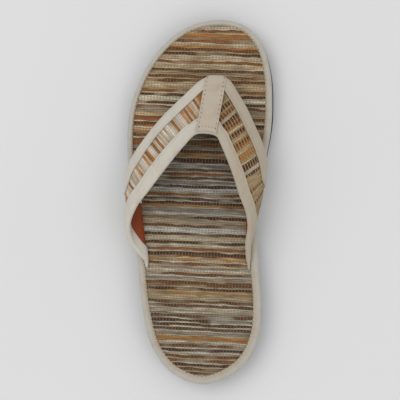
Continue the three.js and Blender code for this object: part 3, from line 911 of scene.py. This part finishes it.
def stitch_row_tree():
    """Short round stitches at an even pitch along a line, each laid along it."""
    tree = bpy.data.node_groups.new("stitch_row", "GeometryNodeTree")
    tree.interface.new_socket("Line", in_out="INPUT", socket_type="NodeSocketGeometry")
    for name in ("Pitch", "Stitch Length", "Thickness"):
        tree.interface.new_socket(name, in_out="INPUT", socket_type="NodeSocketFloat")
    tree.interface.new_socket("Seed", in_out="INPUT", socket_type="NodeSocketInt")
    tree.interface.new_socket("Thread", in_out="INPUT", socket_type="NodeSocketMaterial")
    tree.interface.new_socket("Stitches", in_out="OUTPUT", socket_type="NodeSocketGeometry")
    given = tree.nodes.new("NodeGroupInput").outputs
    result = tree.nodes.new("NodeGroupOutput").inputs
    line = node(tree, "GeometryNodeMeshToCurve", {"Mesh": given["Line"]}).outputs["Curve"]
    spaced = node(tree, "GeometryNodeResampleCurve", {"Curve": line, "Length": given["Pitch"]}, mode="LENGTH")
    heading = node(tree, "GeometryNodeInputTangent").outputs["Tangent"]
    turn = node(tree, "FunctionNodeAlignRotationToVector", {"Vector": heading}, axis="X")
    bead = node(tree, "GeometryNodeMeshIcoSphere", {"Radius": 0.5, "Subdivisions": 2})
    sizes = {"X": given["Stitch Length"], "Y": given["Thickness"], "Z": given["Thickness"]}
    size = node(tree, "ShaderNodeCombineXYZ", sizes).outputs[0]
    draw = {"Seed": given["Seed"], 2: SMALLEST_STITCH, 3: LARGEST_STITCH}
    chance = node(tree, "FunctionNodeRandomValue", draw, data_type="FLOAT").outputs[1]
    scaled = node(tree, "ShaderNodeVectorMath", {"Vector": size, "Scale": chance}, operation="SCALE")
    placed = node(
        tree,
        "GeometryNodeInstanceOnPoints",
        {
            "Points": spaced.outputs["Curve"],
            "Instance": bead.outputs["Mesh"],
            "Rotation": turn.outputs["Rotation"],
            "Scale": scaled.outputs["Vector"],
        },
    )
    real = node(tree, "GeometryNodeRealizeInstances", {"Geometry": placed.outputs["Instances"]})
    sewn = {"Geometry": real.outputs["Geometry"], "Material": given["Thread"]}
    dyed = node(tree, "GeometryNodeSetMaterial", sewn)
    tree.links.new(dyed.outputs["Geometry"], result["Stitches"])
    return tree


STITCH_ROW = stitch_row_tree()


def thread_material(name, colour):
    """Thread of a colour that is darker here and there."""
    made, tree, shader = new_material(name)
    place = node(tree, "ShaderNodeTexCoord").outputs["Object"]
    cloud = noise(tree, place, scale=400.0, detail=2.0)
    darker = tuple(channel * 0.6 for channel in colour[:3]) + (1.0,)
    connect(tree, shader, {"Base Color": blend(tree, cloud, colour, darker), "Roughness": 0.8})
    return made


def stitches(name, lines, thread, pitch, length, thickness, seed):
    """Makes one object of the stitches along each line of points, in millimetres."""
    points = np.vstack(lines) * MM
    starts = np.cumsum([0] + [len(line) for line in lines])
    edges = [(i, i + 1) for a, b in zip(starts, starts[1:]) for i in range(a, b - 1)]
    guide_mesh = bpy.data.meshes.new(name + "_line")
    guide_mesh.from_pydata(points.tolist(), edges, [])
    guide = new_object(name + "_line", guide_mesh)
    sewing = guide.modifiers.new("stitches", "NODES")
    sewing.node_group = STITCH_ROW
    wanted = {
        "Pitch": pitch * MM,
        "Stitch Length": length * MM,
        "Thickness": thickness * MM,
        "Seed": seed,
        "Thread": thread,
    }
    for socket in STITCH_ROW.interface.items_tree:
        if socket.in_out == "INPUT" and socket.name in wanted:
            sewing[socket.identifier] = wanted[socket.name]
    evaluated = guide.evaluated_get(bpy.context.evaluated_depsgraph_get())
    mesh = bpy.data.meshes.new_from_object(evaluated)
    guide.modifiers.remove(sewing)
    bpy.data.objects.remove(guide)
    mesh.name = name
    mesh.shade_smooth()
    made = new_object(name, mesh)
    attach(made, "root")


footbed_cotton = tape_material("footbed_cotton", paint(172, 168, 158), fold=(13.8, 1.8, 0.4))
footbed_tape = footbed_tape_object(footbed_cotton)
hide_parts("footbed_tape")
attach(footbed_tape, "root")

seam = EDGES - OUTWARD * (edge_tape_width(EDGES) - SEAM_INSET)[:, None]
seam = np.column_stack([seam, footbed_top(seam[:, 1]) + SEAM_RISE])
seam = np.vstack([seam, seam[:1]])
# Dark brown thread for both seams. On the centre tape its dark colour is painted shade of the needle holes.
thread_and_hole_shade = thread_material("thread_and_hole_shade", paint(84, 68, 50))
stitches("footbed_tape_stitches", [seam], thread_and_hole_shade, pitch=2.9, length=1.3, thickness=0.32, seed=3)


# Strap: one V of the same woven cloth, lined with brown leather cloth. Both ends stand on the footbed just
# inside the edge tape, and its wings flare out past the sole and rise to the toe post.
WALL = 1.8

# Widths in millimetres of the tapes folded over the strap's edges. The back one is mitred under the centre
# tape, which makes it wide there.
# place along the strap, front, back
TAPE_WIDTHS = [
    (0, 9.8, 8),
    (5, 10.2, 8),
    (7, 9.2, 7.8),
    (8.3, 9, 7.8),
    (9.4, 8.6, 12.6),
    (10, 8.4, 14.5),
    (10.6, 8.4, 13),
    (11.6, 8.8, 8.6),
    (13.4, 9, 9.8),
    (14.6, 11.5, 9),
    (19, 11.5, 8),
]
TAPE_PLACES, FRONT_WIDTHS, BACK_WIDTHS = zip(*TAPE_WIDTHS)


def front_width(along):
    return np.interp(along, TAPE_PLACES, FRONT_WIDTHS)


def back_width(along):
    return np.interp(along, TAPE_PLACES, BACK_WIDTHS)


# Lines across the strap in millimetres, from the big-toe side over the toe post to the little-toe side.
# Rise is the height above the footbed, and the crown is how far the line's middle stands out.
# front x, y, rise, back x, y, rise, crown sideways, up
CROSS_LINES = [
    (45.4, 19.5, 4.9, 34.8, -33, 10, 3, 0),
    (48.3, 23.5, 6.8, 36.4, -20, 15.5, 2.4, 0.8),
    (49, 31.5, 9.5, 34.6, -8.5, 20.5, 0.4, 3),
    (45.9, 43.5, 13, 29.9, 4, 24.5, 0.2, 3.2),
    (40.3, 56.4, 15.5, 26, 16.5, 26.5, 0, 3),
    (35.2, 68, 16, 21.4, 29, 27, 0, 2.6),
    (28.9, 79, 15, 16.6, 40.5, 26.5, 0, 2.2),
    (21.6, 89.5, 14, 13.4, 46.4, 25.5, 0, 2),
    (13.1, 91.1, 13.8, 6.2, 48.4, 25.2, 0, 2),
    (4.2, 90.2, 14, -1.4, 47.8, 25.5, 0, 2),
    (-10.2, 77.7, 15.5, -9.8, 39.6, 26.5, 0, 2.2),
    (-25.6, 62.4, 16.5, -22, 24.6, 27, 0.6, 2.8),
    (-39.3, 45.7, 15, -35, 7.6, 26, 1, 3.2),
    (-48.2, 32.7, 12, -45, -5.2, 22, 1, 3.2),
    (-52.2, 23.2, 8.5, -51.2, -21.5, 16, 1.2, 1),
    (-50.4, 15, 5.6, -48, -34.5, 9.5, 2.6, 0),
]

# Two more lines stand at either end, so the lines are counted from 0 to the last, the toe post's being 10.
LAST_LINE = len(CROSS_LINES) + 3
CENTRE_LINE = 10

# Where the ends stand, from front to back, and where they start to lean out, a little higher.
# side, front y, back y, front y of the lean, back y of the lean
BIG_TOE_END = (1, 15.5, -51, 17.5, -45)
LITTLE_TOE_END = (-1, 9, -50, 11.5, -46)
LEAN_RISE = 3.2
FOOT_RISE = 0.5
BESIDE_TAPE = 0.5
FOOT_POINTS = 7

# The shares of a line, a little past the strap's edges, between which it is worked out, and its steps.
STRIP_EDGES = (-0.2, 1.2)
STRIP_STEPS = 560


def end_line(side, front, back, rise, across):
    """Line across an end of the strap, beside the edge tape."""
    points = []
    for y in np.linspace(front, back, FOOT_POINTS):
        edge, out = edge_from(np.array([0.0, y]), (side, 0.0))
        at = edge - out * (edge_tape_width(edge) + BESIDE_TAPE + WALL / 2)
        points.append((at[0], at[1], footbed_top(at[1]) + rise))
    return along_curve(points, np.clip(across, 0, 1) * (FOOT_POINTS - 1))


def cross_line(row, across):
    front_x, front_y, front_rise, back_x, back_y, back_rise, sideways, upward = row
    crown = 4 * across * (1 - across)
    x = front_x + (back_x - front_x) * across + crown * sideways * math.copysign(1, front_x)
    y = front_y + (back_y - front_y) * across
    rise = front_rise + (back_rise - front_rise) * across + crown * upward
    return np.column_stack([x, y, footbed_top(y) + rise])


def cross_line_table():
    """Every line across the strap at fine steps, with one more beyond each end to lead the curves."""
    across = np.linspace(*STRIP_EDGES, STRIP_STEPS + 1)
    side, front, back, lean_front, lean_back = BIG_TOE_END
    lines = [end_line(side, front, back, FOOT_RISE, across)]
    lines.append(end_line(side, lean_front, lean_back, LEAN_RISE, across))
    lines += [cross_line(row, across) for row in CROSS_LINES]
    side, front, back, lean_front, lean_back = LITTLE_TOE_END
    lines.append(end_line(side, lean_front, lean_back, LEAN_RISE, across))
    lines.append(end_line(side, front, back, FOOT_RISE, across))
    return np.array([2 * lines[0] - lines[1], *lines, 2 * lines[-1] - lines[-2]])


CROSS_TABLE = cross_line_table()


def strap_middle(along, across):
    """Points of the strap's middle surface. Along counts the cross-lines, across runs from front to back."""
    along, across = np.broadcast_arrays(along, across)
    line = np.clip(np.floor(along).astype(int), 0, LAST_LINE - 1)
    place = (across - STRIP_EDGES[0]) / (STRIP_EDGES[1] - STRIP_EDGES[0]) * STRIP_STEPS
    column = np.clip(np.floor(place).astype(int), 0, STRIP_STEPS - 1)
    within = (place - column)[..., None]
    four = []
    for i in range(4):
        before, after = CROSS_TABLE[line + i, column], CROSS_TABLE[line + i, column + 1]
        four.append(before * (1 - within) + after * within)
    return curve_between(*four, (along - line)[..., None])


def strap_slopes(along, across):
    """Directions along and across the strap, as changes for one whole step of each."""
    step = 0.01
    before, after = np.maximum(along - step, 0), np.minimum(along + step, LAST_LINE)
    lengthwise = (strap_middle(after, across) - strap_middle(before, across)) / (after - before)[..., None]
    inner = np.clip(across, step, 1 - step)
    crosswise = (strap_middle(along, inner + step) - strap_middle(along, inner - step)) / (2 * step)
    return lengthwise, crosswise


def strap_points(along, across, height):
    """Points at a height square to the strap's middle surface, the outside being up."""
    along, across, height = np.broadcast_arrays(along, across, height)
    lengthwise, crosswise = strap_slopes(along, across)
    out = np.cross(lengthwise, crosswise)
    out /= np.linalg.norm(out, axis=-1, keepdims=True)
    return strap_middle(along, across) + out * height[..., None]


FINE_PLACES = 2000


def even_alongs(start, end, spacing):
    """Places along the strap at an even spacing, in millimetres on its middle line."""
    fine = np.linspace(start, end, FINE_PLACES)
    reach = reach_along(strap_middle(fine, np.full(fine.size, 0.5)))
    return np.interp(np.linspace(0, reach[-1], int(reach[-1] / spacing) + 1), reach, fine)


# Distances in millimetres from an edge: up to the first they are taken square to it, past the second from
# its nearest point, and between them the two are mixed.
SQUARE_UP_TO = 3.0
NEAREST_FROM = 5.0
RIM_PLACES = 600
HALF_STEPS = 101


class FromEdge:
    """Places at distances from one edge of the strap, for rows at given places along it."""

    def __init__(self, alongs, edge, inward):
        self.edge, self.inward = edge, inward
        lengthwise, crosswise = strap_slopes(alongs, np.full(alongs.size, float(edge)))
        square = np.linalg.norm(np.cross(crosswise, lengthwise), axis=-1)
        self.pace = square / np.linalg.norm(lengthwise, axis=-1)
        self.shares = np.linspace(0, 0.5, HALF_STEPS)
        rim = strap_middle(np.linspace(0, LAST_LINE, RIM_PLACES), np.full(RIM_PLACES, float(edge)))
        self.away = np.empty((alongs.size, self.shares.size))
        for i, along in enumerate(alongs):
            line = strap_middle(np.full(self.shares.size, along), edge + inward * self.shares)
            self.away[i] = np.linalg.norm(line[:, None, :] - rim[None], axis=-1).min(axis=1)
        self.away = np.maximum.accumulate(self.away, axis=1)

    def at(self, distance):
        distance = np.broadcast_to(distance, self.pace.shape)
        near = self.edge + self.inward * distance / self.pace
        share = np.array([np.interp(d, row, self.shares) for d, row in zip(distance, self.away)])
        far = self.edge + self.inward * share
        mix = np.clip((distance - SQUARE_UP_TO) / (NEAREST_FROM - SQUARE_UP_TO), 0, 1)
        return near + (far - near) * mix


def leather_material():
    made, tree, shader = new_material("brown_leather_cloth")
    place = node(tree, "ShaderNodeTexCoord").outputs["Object"]
    pores = node(tree, "ShaderNodeTexVoronoi", {"Vector": place, "Scale": 1400.0}).outputs["Distance"]
    cloud = noise(tree, place, scale=60.0, detail=4.0)
    colour = blend(tree, cloud, paint(140, 62, 20), paint(104, 44, 14))
    connect(tree, shader, {"Base Color": colour, "Roughness": 0.6, "Specular IOR Level": 0.25})
    raised(tree, shader, pores, strength=0.35, depth=0.0002)
    return made


# The cloth starts a little inside the strap's edge, and goes under each tape's inner edge.
CLOTH_SPACING = 0.6
CLOTH_START = 1.7
UNDER_TAPE = 0.6
cloth_alongs = even_alongs(0.0, LAST_LINE, CLOTH_SPACING)
from_front = FromEdge(cloth_alongs, 0, 1)
from_back = FromEdge(cloth_alongs, 1, -1)


def cloth_places(columns):
    """Places across the strap from under the front tape, between the tapes, to under the back tape."""
    front_wide, back_wide = front_width(cloth_alongs), back_width(cloth_alongs)
    front, back = from_front.at(front_wide - UNDER_TAPE), from_back.at(back_wide - UNDER_TAPE)
    shown = front[:, None] + (back - front)[:, None] * np.linspace(0, 1, columns)
    hidden = [from_front.at(d)[:, None] for d in (CLOTH_START, front_wide / 2)]
    hidden_back = [from_back.at(d)[:, None] for d in (back_wide / 2, CLOTH_START)]
    return np.hstack([*hidden, shown, *hidden_back])


# Each wing is a straight piece of cloth. Its wefts are placed in millimetres along a line down the middle
# of the wing, between tapes of the usual widths, which runs straight on under the centre tape.
WING_STARTS = (8.2, 11.7)
USUAL_FRONT = 9
USUAL_BACK = 8
STRAIGHT_ON = 34
HEADING_ROWS = 12


def wing_rows(alongs, points, side):
    """Millimetres along a wing from the toe post's line, and across it, towards the back, for points."""
    middle = (from_front.at(USUAL_FRONT) + from_back.at(USUAL_BACK)) / 2
    line = strap_middle(alongs, middle)
    if side > 0:
        start = WING_STARTS[0]
        line = line[alongs <= start][::-1]
    else:
        start = WING_STARTS[1]
        line = line[alongs >= start]
    heading = line[0] - line[HEADING_ROWS]
    heading /= np.linalg.norm(heading)
    ahead = line[0] + heading * np.arange(STRAIGHT_ON, 0, -1)[:, None]
    line = np.vstack([ahead, line])
    steps = np.diff(line, axis=0)
    lengths = np.linalg.norm(steps, axis=1)
    reach = reach_along(line)
    centre = strap_middle(np.array([float(CENTRE_LINE)]), np.array([0.5]))[0]
    reach -= reach[np.linalg.norm(line - centre, axis=1).argmin()]
    tangents = np.vstack([steps / lengths[:, None], steps[-1:] / lengths[-1]])
    _, backward = strap_slopes(np.array([start]), np.array([0.5]))
    flat = points.reshape(-1, 3)
    nearest = np.linalg.norm(flat[:, None, :] - line[None], axis=-1).argmin(axis=1)
    away = flat - line[nearest]
    rows = reach[nearest] + np.sum(away * tangents[nearest], axis=1)
    wide = np.linalg.norm(away, axis=1) * np.sign(away @ backward[0])
    return rows.reshape(points.shape[:2]), wide.reshape(points.shape[:2])


# One letter for each weft from the toe post's tape down to the strap's end, on either wing.
BIG_TOE_WEFTS = "sbdsrbspdbrbopsdrspobrospooospbdbpwdssssssrssssrsssgssssssssssgs"
LITTLE_TOE_WEFTS = "oprpspoprsopwpsprspwpspspsprpsrpwporpopwpspopwspswprpspwposswpsp"
FIRST_WEFT = 4.0
BIG_TOE_SLANT = math.tan(math.radians(11))
LITTLE_TOE_SLANT = math.tan(math.radians(9))
BIG_TOE_WARPS = 0.55
LITTLE_TOE_WARPS = 0.1
# The wings' tints are painted light: the little-toe wing is made paler and bluer as if lit by the lamp, and
# the big-toe wing darker and warmer as if in shade.
BIG_TOE_PAINTED_SHADE = np.array([0.93, 0.92, 0.85])
LITTLE_TOE_PAINTED_LIGHT = np.array([1.17, 1.2, 1.3])
WING_YARNS_FADE = 0.1
STRAP_STRANDS = 0.4
STRAP_WARP_COLOUR = (176, 154, 118)


def wing_cloth(points, side, wefts, slant, tint, seed):
    """Colour, counted weft and millimetres across for points, as if the whole strap were that one wing."""
    rows, wide = wing_rows(cloth_alongs, points, side)
    counted = np.maximum(rows - wide * slant - FIRST_WEFT, 0) / WEFT_PITCH
    return yarn_colours(wefts, counted, wide, seed, fade=WING_YARNS_FADE) * tint, counted, wide


# Heights over the strap's middle surface. The cloth puffs up where no tape holds it down, from a narrow
# share of the strap's width inside the tapes.
CLOTH_TOP = 0.9
CLOTH_PUFF = 0.2
PUFF_SHARE = 1 / 40
CLOTH_BOTTOM = -0.1
LINING_TOP = -0.15
LINING_BOTTOM = -0.9
CLOTH_COLUMNS = 34
LINING_COLUMNS = 6
LINING_ROWS = slice(None, None, 3)

across = cloth_places(CLOTH_COLUMNS)
cloth_middle = strap_middle(cloth_alongs[:, None], across)
big = wing_cloth(cloth_middle, 1, BIG_TOE_WEFTS, BIG_TOE_SLANT, BIG_TOE_PAINTED_SHADE, seed=900)
little = wing_cloth(cloth_middle, -1, LITTLE_TOE_WEFTS, LITTLE_TOE_SLANT, LITTLE_TOE_PAINTED_LIGHT, seed=1900)
on_big = (cloth_alongs < CENTRE_LINE)[:, None]
colours = np.where(on_big[..., None], big[0], little[0])
counted = np.where(on_big, big[1], little[1])
wide = np.where(on_big, big[2], little[2])
warps = np.where(on_big, BIG_TOE_WARPS, LITTLE_TOE_WARPS) + np.zeros(counted.shape)
front_side = from_front.at(front_width(cloth_alongs))[:, None]
back_side = from_back.at(back_width(cloth_alongs))[:, None]
inside_tapes = np.minimum(across - front_side, back_side - across)
shown = np.clip(inside_tapes / PUFF_SHARE, 0, 1)
height = CLOTH_TOP + shown * (CLOTH_PUFF + weft_relief(counted))
cloth_top = strap_points(cloth_alongs[:, None], across, height)
cloth_bottom = strap_points(cloth_alongs[:, None], across, CLOTH_BOTTOM)
cloth_uv = np.stack([wide, counted * WEFT_PITCH], axis=-1)
strap_fibre = woven_material("strap_fibre_cloth", paint(*STRAP_WARP_COLOUR), STRAP_STRANDS)
mesh = lidded_sheet("strap_cloth", cloth_top, cloth_bottom, cloth_uv)
colour_points(mesh, np.concatenate([colours.reshape(-1, 3)] * 2), np.concatenate([warps.ravel()] * 2))
strap_cloth = finished("strap_cloth", mesh, strap_fibre)

lining_across = cloth_places(LINING_COLUMNS)[LINING_ROWS]
lining_top = strap_points(cloth_alongs[LINING_ROWS, None], lining_across, LINING_TOP)
lining_bottom = strap_points(cloth_alongs[LINING_ROWS, None], lining_across, LINING_BOTTOM)
lining_uv = np.zeros((*lining_across.shape, 2))
mesh = lidded_sheet("strap_lining", lining_top, lining_bottom, lining_uv)
strap_lining = finished("strap_lining", mesh, leather_material())
for piece in (strap_cloth, strap_lining):
    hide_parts("strap")
    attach(piece, "root")


# Folded tapes: cotton tape wrapped over the strap's front and back edges and sewn down through both
# layers. The turned-in edge on the cloth makes a thin ridge, and the outer fold is round and full.
NOSE = WALL / 2 + GAP + TAPE
INNER_FACE = 1.2
NOSE_ANGLES = np.radians([-90, -68, -46, -23, 0, 23, 46, 68, 90])
TAPED_START = 0.12
TAPE_SPACING = 1.1
tape_alongs = even_alongs(TAPED_START, LAST_LINE - TAPED_START, TAPE_SPACING)
tape_reach = reach_along(strap_middle(tape_alongs, np.full(tape_alongs.size, 0.5)))

# Towards the strap's ends, counted in cross-lines, the tape lies thinner and its ridge sinks away.
PINCHED_TO = 0.62
PINCH_ENDS = (0.1, 1.3)
RIDGE_ENDS = (3.2, 5.5)

# Millimetres from the strap's edge past which the tape lies flat and puckers fully, the share of the puckers
# on the fold itself, and their heights.
FLAT_FROM = 3
FOLD_PUCKER = 0.4
DEEP_FOLD_PUCKER = 0.1
FINE_FOLD_PUCKER = 0.06


def folded_tape(name, edge, inward, width_along, material, seed):
    """Tape from under the lining, round the edge, to the ridge on the cloth. A line across it is a list of
    distances from the strap's edge and heights over the strap's middle surface."""
    from_edge = FromEdge(tape_alongs, edge, inward)
    width = width_along(tape_alongs)
    ends = np.minimum(tape_alongs, LAST_LINE - tape_alongs)
    full = ease(*RIDGE_ENDS, ends)
    pinch = PINCHED_TO + (1 - PINCHED_TO) * ease(*PINCH_ENDS, ends)
    outer = [(width, -NOSE + 0.35), (width - 0.5, -NOSE), (width * 0.6, -NOSE), (width * 0.4, -NOSE)]
    inner = [(width, 0.05 - INNER_FACE)]
    inner += [(distance, -INNER_FACE) for distance in (width - 0.5, width * 0.6, width * 0.4)]
    for angle in NOSE_ANGLES:
        outer.append((NOSE * (1 - math.cos(angle)), NOSE * math.sin(angle)))
        inner.append((NOSE - (NOSE - TAPE) * math.cos(angle), (NOSE - TAPE) * math.sin(angle)))
    # Over the cloth: distance from the strap's edge and rise over the fold, ending in the ridge.
    top = [
        (width * 0.42, 0),
        (width * 0.6, -0.06),
        (width * 0.76, -0.12),
        (width - 1.9, -0.26),
        (width - 1.35, -0.12),
        (width - 0.95, 0.4 * full),
        (width - 0.5, 0.52 * full),
        (width - 0.1, 0.3 * full),
        (width + 0.02, -0.4),
    ]
    outer += [(distance, NOSE + rise) for distance, rise in top]
    inner += [(distance, INNER_FACE) for distance, _ in top]

    def lay(line):
        across = np.stack([from_edge.at(distance) for distance, _ in line], axis=1)
        heights = np.stack([height * pinch for _, height in line], axis=1)
        return across, heights

    deep = DEEP_FOLD_PUCKER * slow_noise(tape_reach, seed, waves=5, longest=24)
    pucker = deep + FINE_FOLD_PUCKER * slow_noise(tape_reach, seed + 1, longest=6)
    loose = np.array([1.0 if np.mean(distance) > FLAT_FROM else FOLD_PUCKER for distance, _ in outer])
    across, heights = lay(outer)
    heights = heights + pucker[:, None] * loose * np.sign(heights)
    outer_points = strap_points(tape_alongs[:, None], across, heights)
    inner_points = strap_points(tape_alongs[:, None], *lay(inner))
    along = np.linalg.norm(np.diff(outer_points, axis=1), axis=-1).mean(axis=0)
    wide = np.concatenate([[0], np.cumsum(along)])
    uv = np.stack(np.broadcast_arrays(tape_reach[:, None], wide[None, :]), axis=-1)
    mesh = lidded_sheet(name, outer_points, inner_points, uv)
    made = finished(name, mesh, material)
    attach(made, "root")
    return made


# The big-toe side's darker tape colour is painted shade, since the little-toe side faces the main lamp.
outer_cotton, shaded_cotton = paint(190, 184, 173), paint(168, 157, 139)
strap_cotton = tape_material("strap_cotton", outer_cotton, soil=0.25, shaded_cotton=shaded_cotton)
front_tape = folded_tape("front_edge_tape_fold", 0, 1, front_width, strap_cotton, seed=31)
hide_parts("front_edge_tape")
back_tape = folded_tape("back_edge_tape_fold", 1, -1, back_width, strap_cotton, seed=37)
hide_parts("back_edge_tape")


# Centre tape: one strip of the same cotton tape over the middle of the V. It is turned down over the front
# edge, lies over both folded tapes, and two rows of stitches along it and one across it hold it.
CENTRE_TAPE_WIDTH = 15.0
CENTRE_ROWS = 31
CENTRE_COLUMNS = 26
TURN_ANGLES = (-62, -40, -18, 4, 26, 48, 70, 90)
TURN_END = 4.2
REAR_END = 1.6
OVER = NOSE + 0.35
SIDE_LIFT = 0.2

# Between the folded tapes the centre tape dips a little towards the cloth. The shares of the strap's width
# before and after a tape's inner edge are where the dip starts and ends, and the other where the turn does.
PANEL_DIP = 0.5
DIP_BEFORE = 0.02
DIP_AFTER = 0.08
TURN_FADE = 0.2

# Place, half width and depth of the stitched groove, with places from 0 at the tape's middle to 1 at its
# side, and of the bead beyond it, then the heights of the crowned middle and of the nap.
GROOVE_AT = 0.8
GROOVE_HALF = 0.06
GROOVE_DEPTH = 0.16
BEAD_AT = 0.93
BEAD_HALF = 0.05
BEAD_HEIGHT = 0.3
CROWN_HEIGHT = 0.12
NAP_HEIGHT = 0.05


def centre_tape_object(material):
    """The tape and its top's points. Columns run from under the front edge to short of the back edge, rows
    from one side to the other."""
    middle = np.array([float(CENTRE_LINE)])
    front, back = FromEdge(middle, 0, 1), FromEdge(middle, 1, -1)
    side = np.linspace(-1, 1, CENTRE_ROWS)
    radius = OVER + TAPE - (OVER + TAPE - NOSE - SIDE_LIFT) * np.abs(side) ** 4
    pace = front.pace[0]
    columns = []
    for angle in np.radians(TURN_ANGLES):
        columns.append(((NOSE - radius * math.cos(angle)) / pace, radius * math.sin(angle)))
    start, end = front.at(TURN_END)[0], back.at(REAR_END)[0]
    panel_front, panel_back = front.at(front_width(middle))[0], back.at(back_width(middle))[0]
    for place in np.linspace(start, end, CENTRE_COLUMNS):
        fall = ease(panel_front - DIP_BEFORE, panel_front + DIP_AFTER, place)
        climb = ease(panel_back - DIP_AFTER, panel_back + DIP_BEFORE, place)
        turned = ease(start, start + TURN_FADE, place)
        flat = radius + (OVER + TAPE - radius) * turned - PANEL_DIP * (fall * (1 - climb))
        columns.append((np.full(CENTRE_ROWS, place), flat))
    across = np.stack([place for place, _ in columns], axis=1)
    heights = np.stack([height for _, height in columns], axis=1)
    lengthwise, _ = strap_slopes(np.full(across.shape, float(CENTRE_LINE)), np.clip(across, 0, 1))
    along = CENTRE_LINE + side[:, None] * CENTRE_TAPE_WIDTH / 2 / np.linalg.norm(lengthwise, axis=-1)
    groove = GROOVE_DEPTH * np.exp(-(((np.abs(side) - GROOVE_AT) / GROOVE_HALF) ** 2))
    bead = BEAD_HEIGHT * np.exp(-(((np.abs(side) - BEAD_AT) / BEAD_HALF) ** 2))
    crown = CROWN_HEIGHT * np.cos(side * math.pi / 2) - groove + bead
    nap = NAP_HEIGHT * slow_noise(across * 60 + side[:, None] * 9, seed=41, longest=9)
    top = strap_points(along, across, heights + crown[:, None] + nap)
    bottom = strap_points(along, across, heights - TAPE)
    reach = reach_along(top[CENTRE_ROWS // 2])
    wide = side * CENTRE_TAPE_WIDTH / 2
    uv = np.stack(np.broadcast_arrays(reach[None, :], wide[:, None]), axis=-1)
    mesh = lidded_sheet("centre_tape_strip", top, bottom, uv)
    return finished("centre_tape_strip", mesh, material), top


centre_cotton = tape_material("centre_cotton", paint(176, 164, 148), soil=0.32)
centre_tape, centre_top = centre_tape_object(centre_cotton)
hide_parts("centre_tape")
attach(centre_tape, "root")

# Rows of the tape's points that lie in the two grooves, the part of their length that is sewn, and the
# column of the stitches across the rear end.
LEFT_GROOVE = 3
RIGHT_GROOVE = 27
SEWN = slice(3, -2)
REAR_COLUMN = -3
side_seams = [centre_top[LEFT_GROOVE, SEWN], centre_top[RIGHT_GROOVE, SEWN]]
rear_seam = centre_top[LEFT_GROOVE + 1 : RIGHT_GROOVE, REAR_COLUMN]
# These stitches are dark although the tape's own thread is cream: their colour is painted shade of the needle
# holes.
stitches("centre_tape_stitches", side_seams, thread_and_hole_shade, pitch=3.5, length=1.1, thickness=0.6, seed=5)
stitches("centre_tape_rear_stitches", [rear_seam], thread_and_hole_shade, pitch=1.9, length=0.8, thickness=0.4, seed=8)


# Toe post: a flat roll of the same tape, sewn at its back, that runs from the footbed up into the strap's
# point between the toes.
POST_WIDTH = 11.0
POST_DEPTH = 6.5
POST_SIDES = 48
POST_RINGS = 16
POST_FROM_EDGE = 6.0

# The roll flares at its foot and is narrowest two thirds of the way up, where a half wave has its crest.
# Soft creases run round it, and a groove down the seam at its back.
FLARE = 1.1
WAIST = 0.26
HALF_WAVES = 0.75
CREASE = 0.12
POST_SEAM = 0.5
POST_SEAM_HALF = 0.12

# The part of the strap's inside that the post may reach: cross-lines, shares across, steps and clearance.
CEILING_ALONG = (8.5, 11.5)
CEILING_ACROSS = (-0.02, 0.45)
CEILING_STEPS = 60
CEILING_GAP = 0.1


def toe_post_object(material):
    middle = np.array([float(CENTRE_LINE)])
    centre = strap_middle(middle, FromEdge(middle, 0, 1).at(POST_FROM_EDGE))[0]
    alongs = np.linspace(*CEILING_ALONG, CEILING_STEPS)
    acrosses = np.linspace(*CEILING_ACROSS, CEILING_STEPS)
    ceiling = strap_points(*np.meshgrid(alongs, acrosses), -NOSE - CEILING_GAP).reshape(-1, 3)
    angles = np.linspace(0, 2 * math.pi, POST_SIDES, endpoint=False)
    rings = []
    for i in range(POST_RINGS + 1):
        share = i / POST_RINGS
        size = FLARE - WAIST * math.sin(math.pi * (share * HALF_WAVES)) ** 0.8
        crease = CREASE * np.sin(6 * share * math.pi + 2 * np.sin(angles))
        seam = -POST_SEAM * np.exp(-(((angles - 1.5 * math.pi) / POST_SEAM_HALF) ** 2))
        x = centre[0] + (size * POST_WIDTH / 2 + crease) * np.cos(angles)
        y = centre[1] + (size * POST_DEPTH / 2 + crease + seam) * np.sin(angles)
        floor_z = footbed_top(y)
        away = ceiling[None, :, :2] - np.column_stack([x, y])[:, None, :]
        nearest = np.linalg.norm(away, axis=-1).argmin(axis=1)
        rings.append(np.column_stack([x, y, floor_z + (ceiling[nearest, 2] - floor_z) * share]))
    bottom, top = rings[0].mean(axis=0), rings[-1].mean(axis=0)
    rings = [np.tile(bottom, (POST_SIDES, 1)), *rings, np.tile(top, (POST_SIDES, 1))]
    round_post = np.append(angles, 2 * math.pi) * POST_WIDTH / 2
    uv = [np.column_stack([round_post, np.full(POST_SIDES + 1, i)]) for i in range(len(rings))]
    return rings_object("toe_post_roll", rings, uv, material)


toe_post = toe_post_object(strap_cotton)
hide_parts("toe_post")
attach(toe_post, "root")
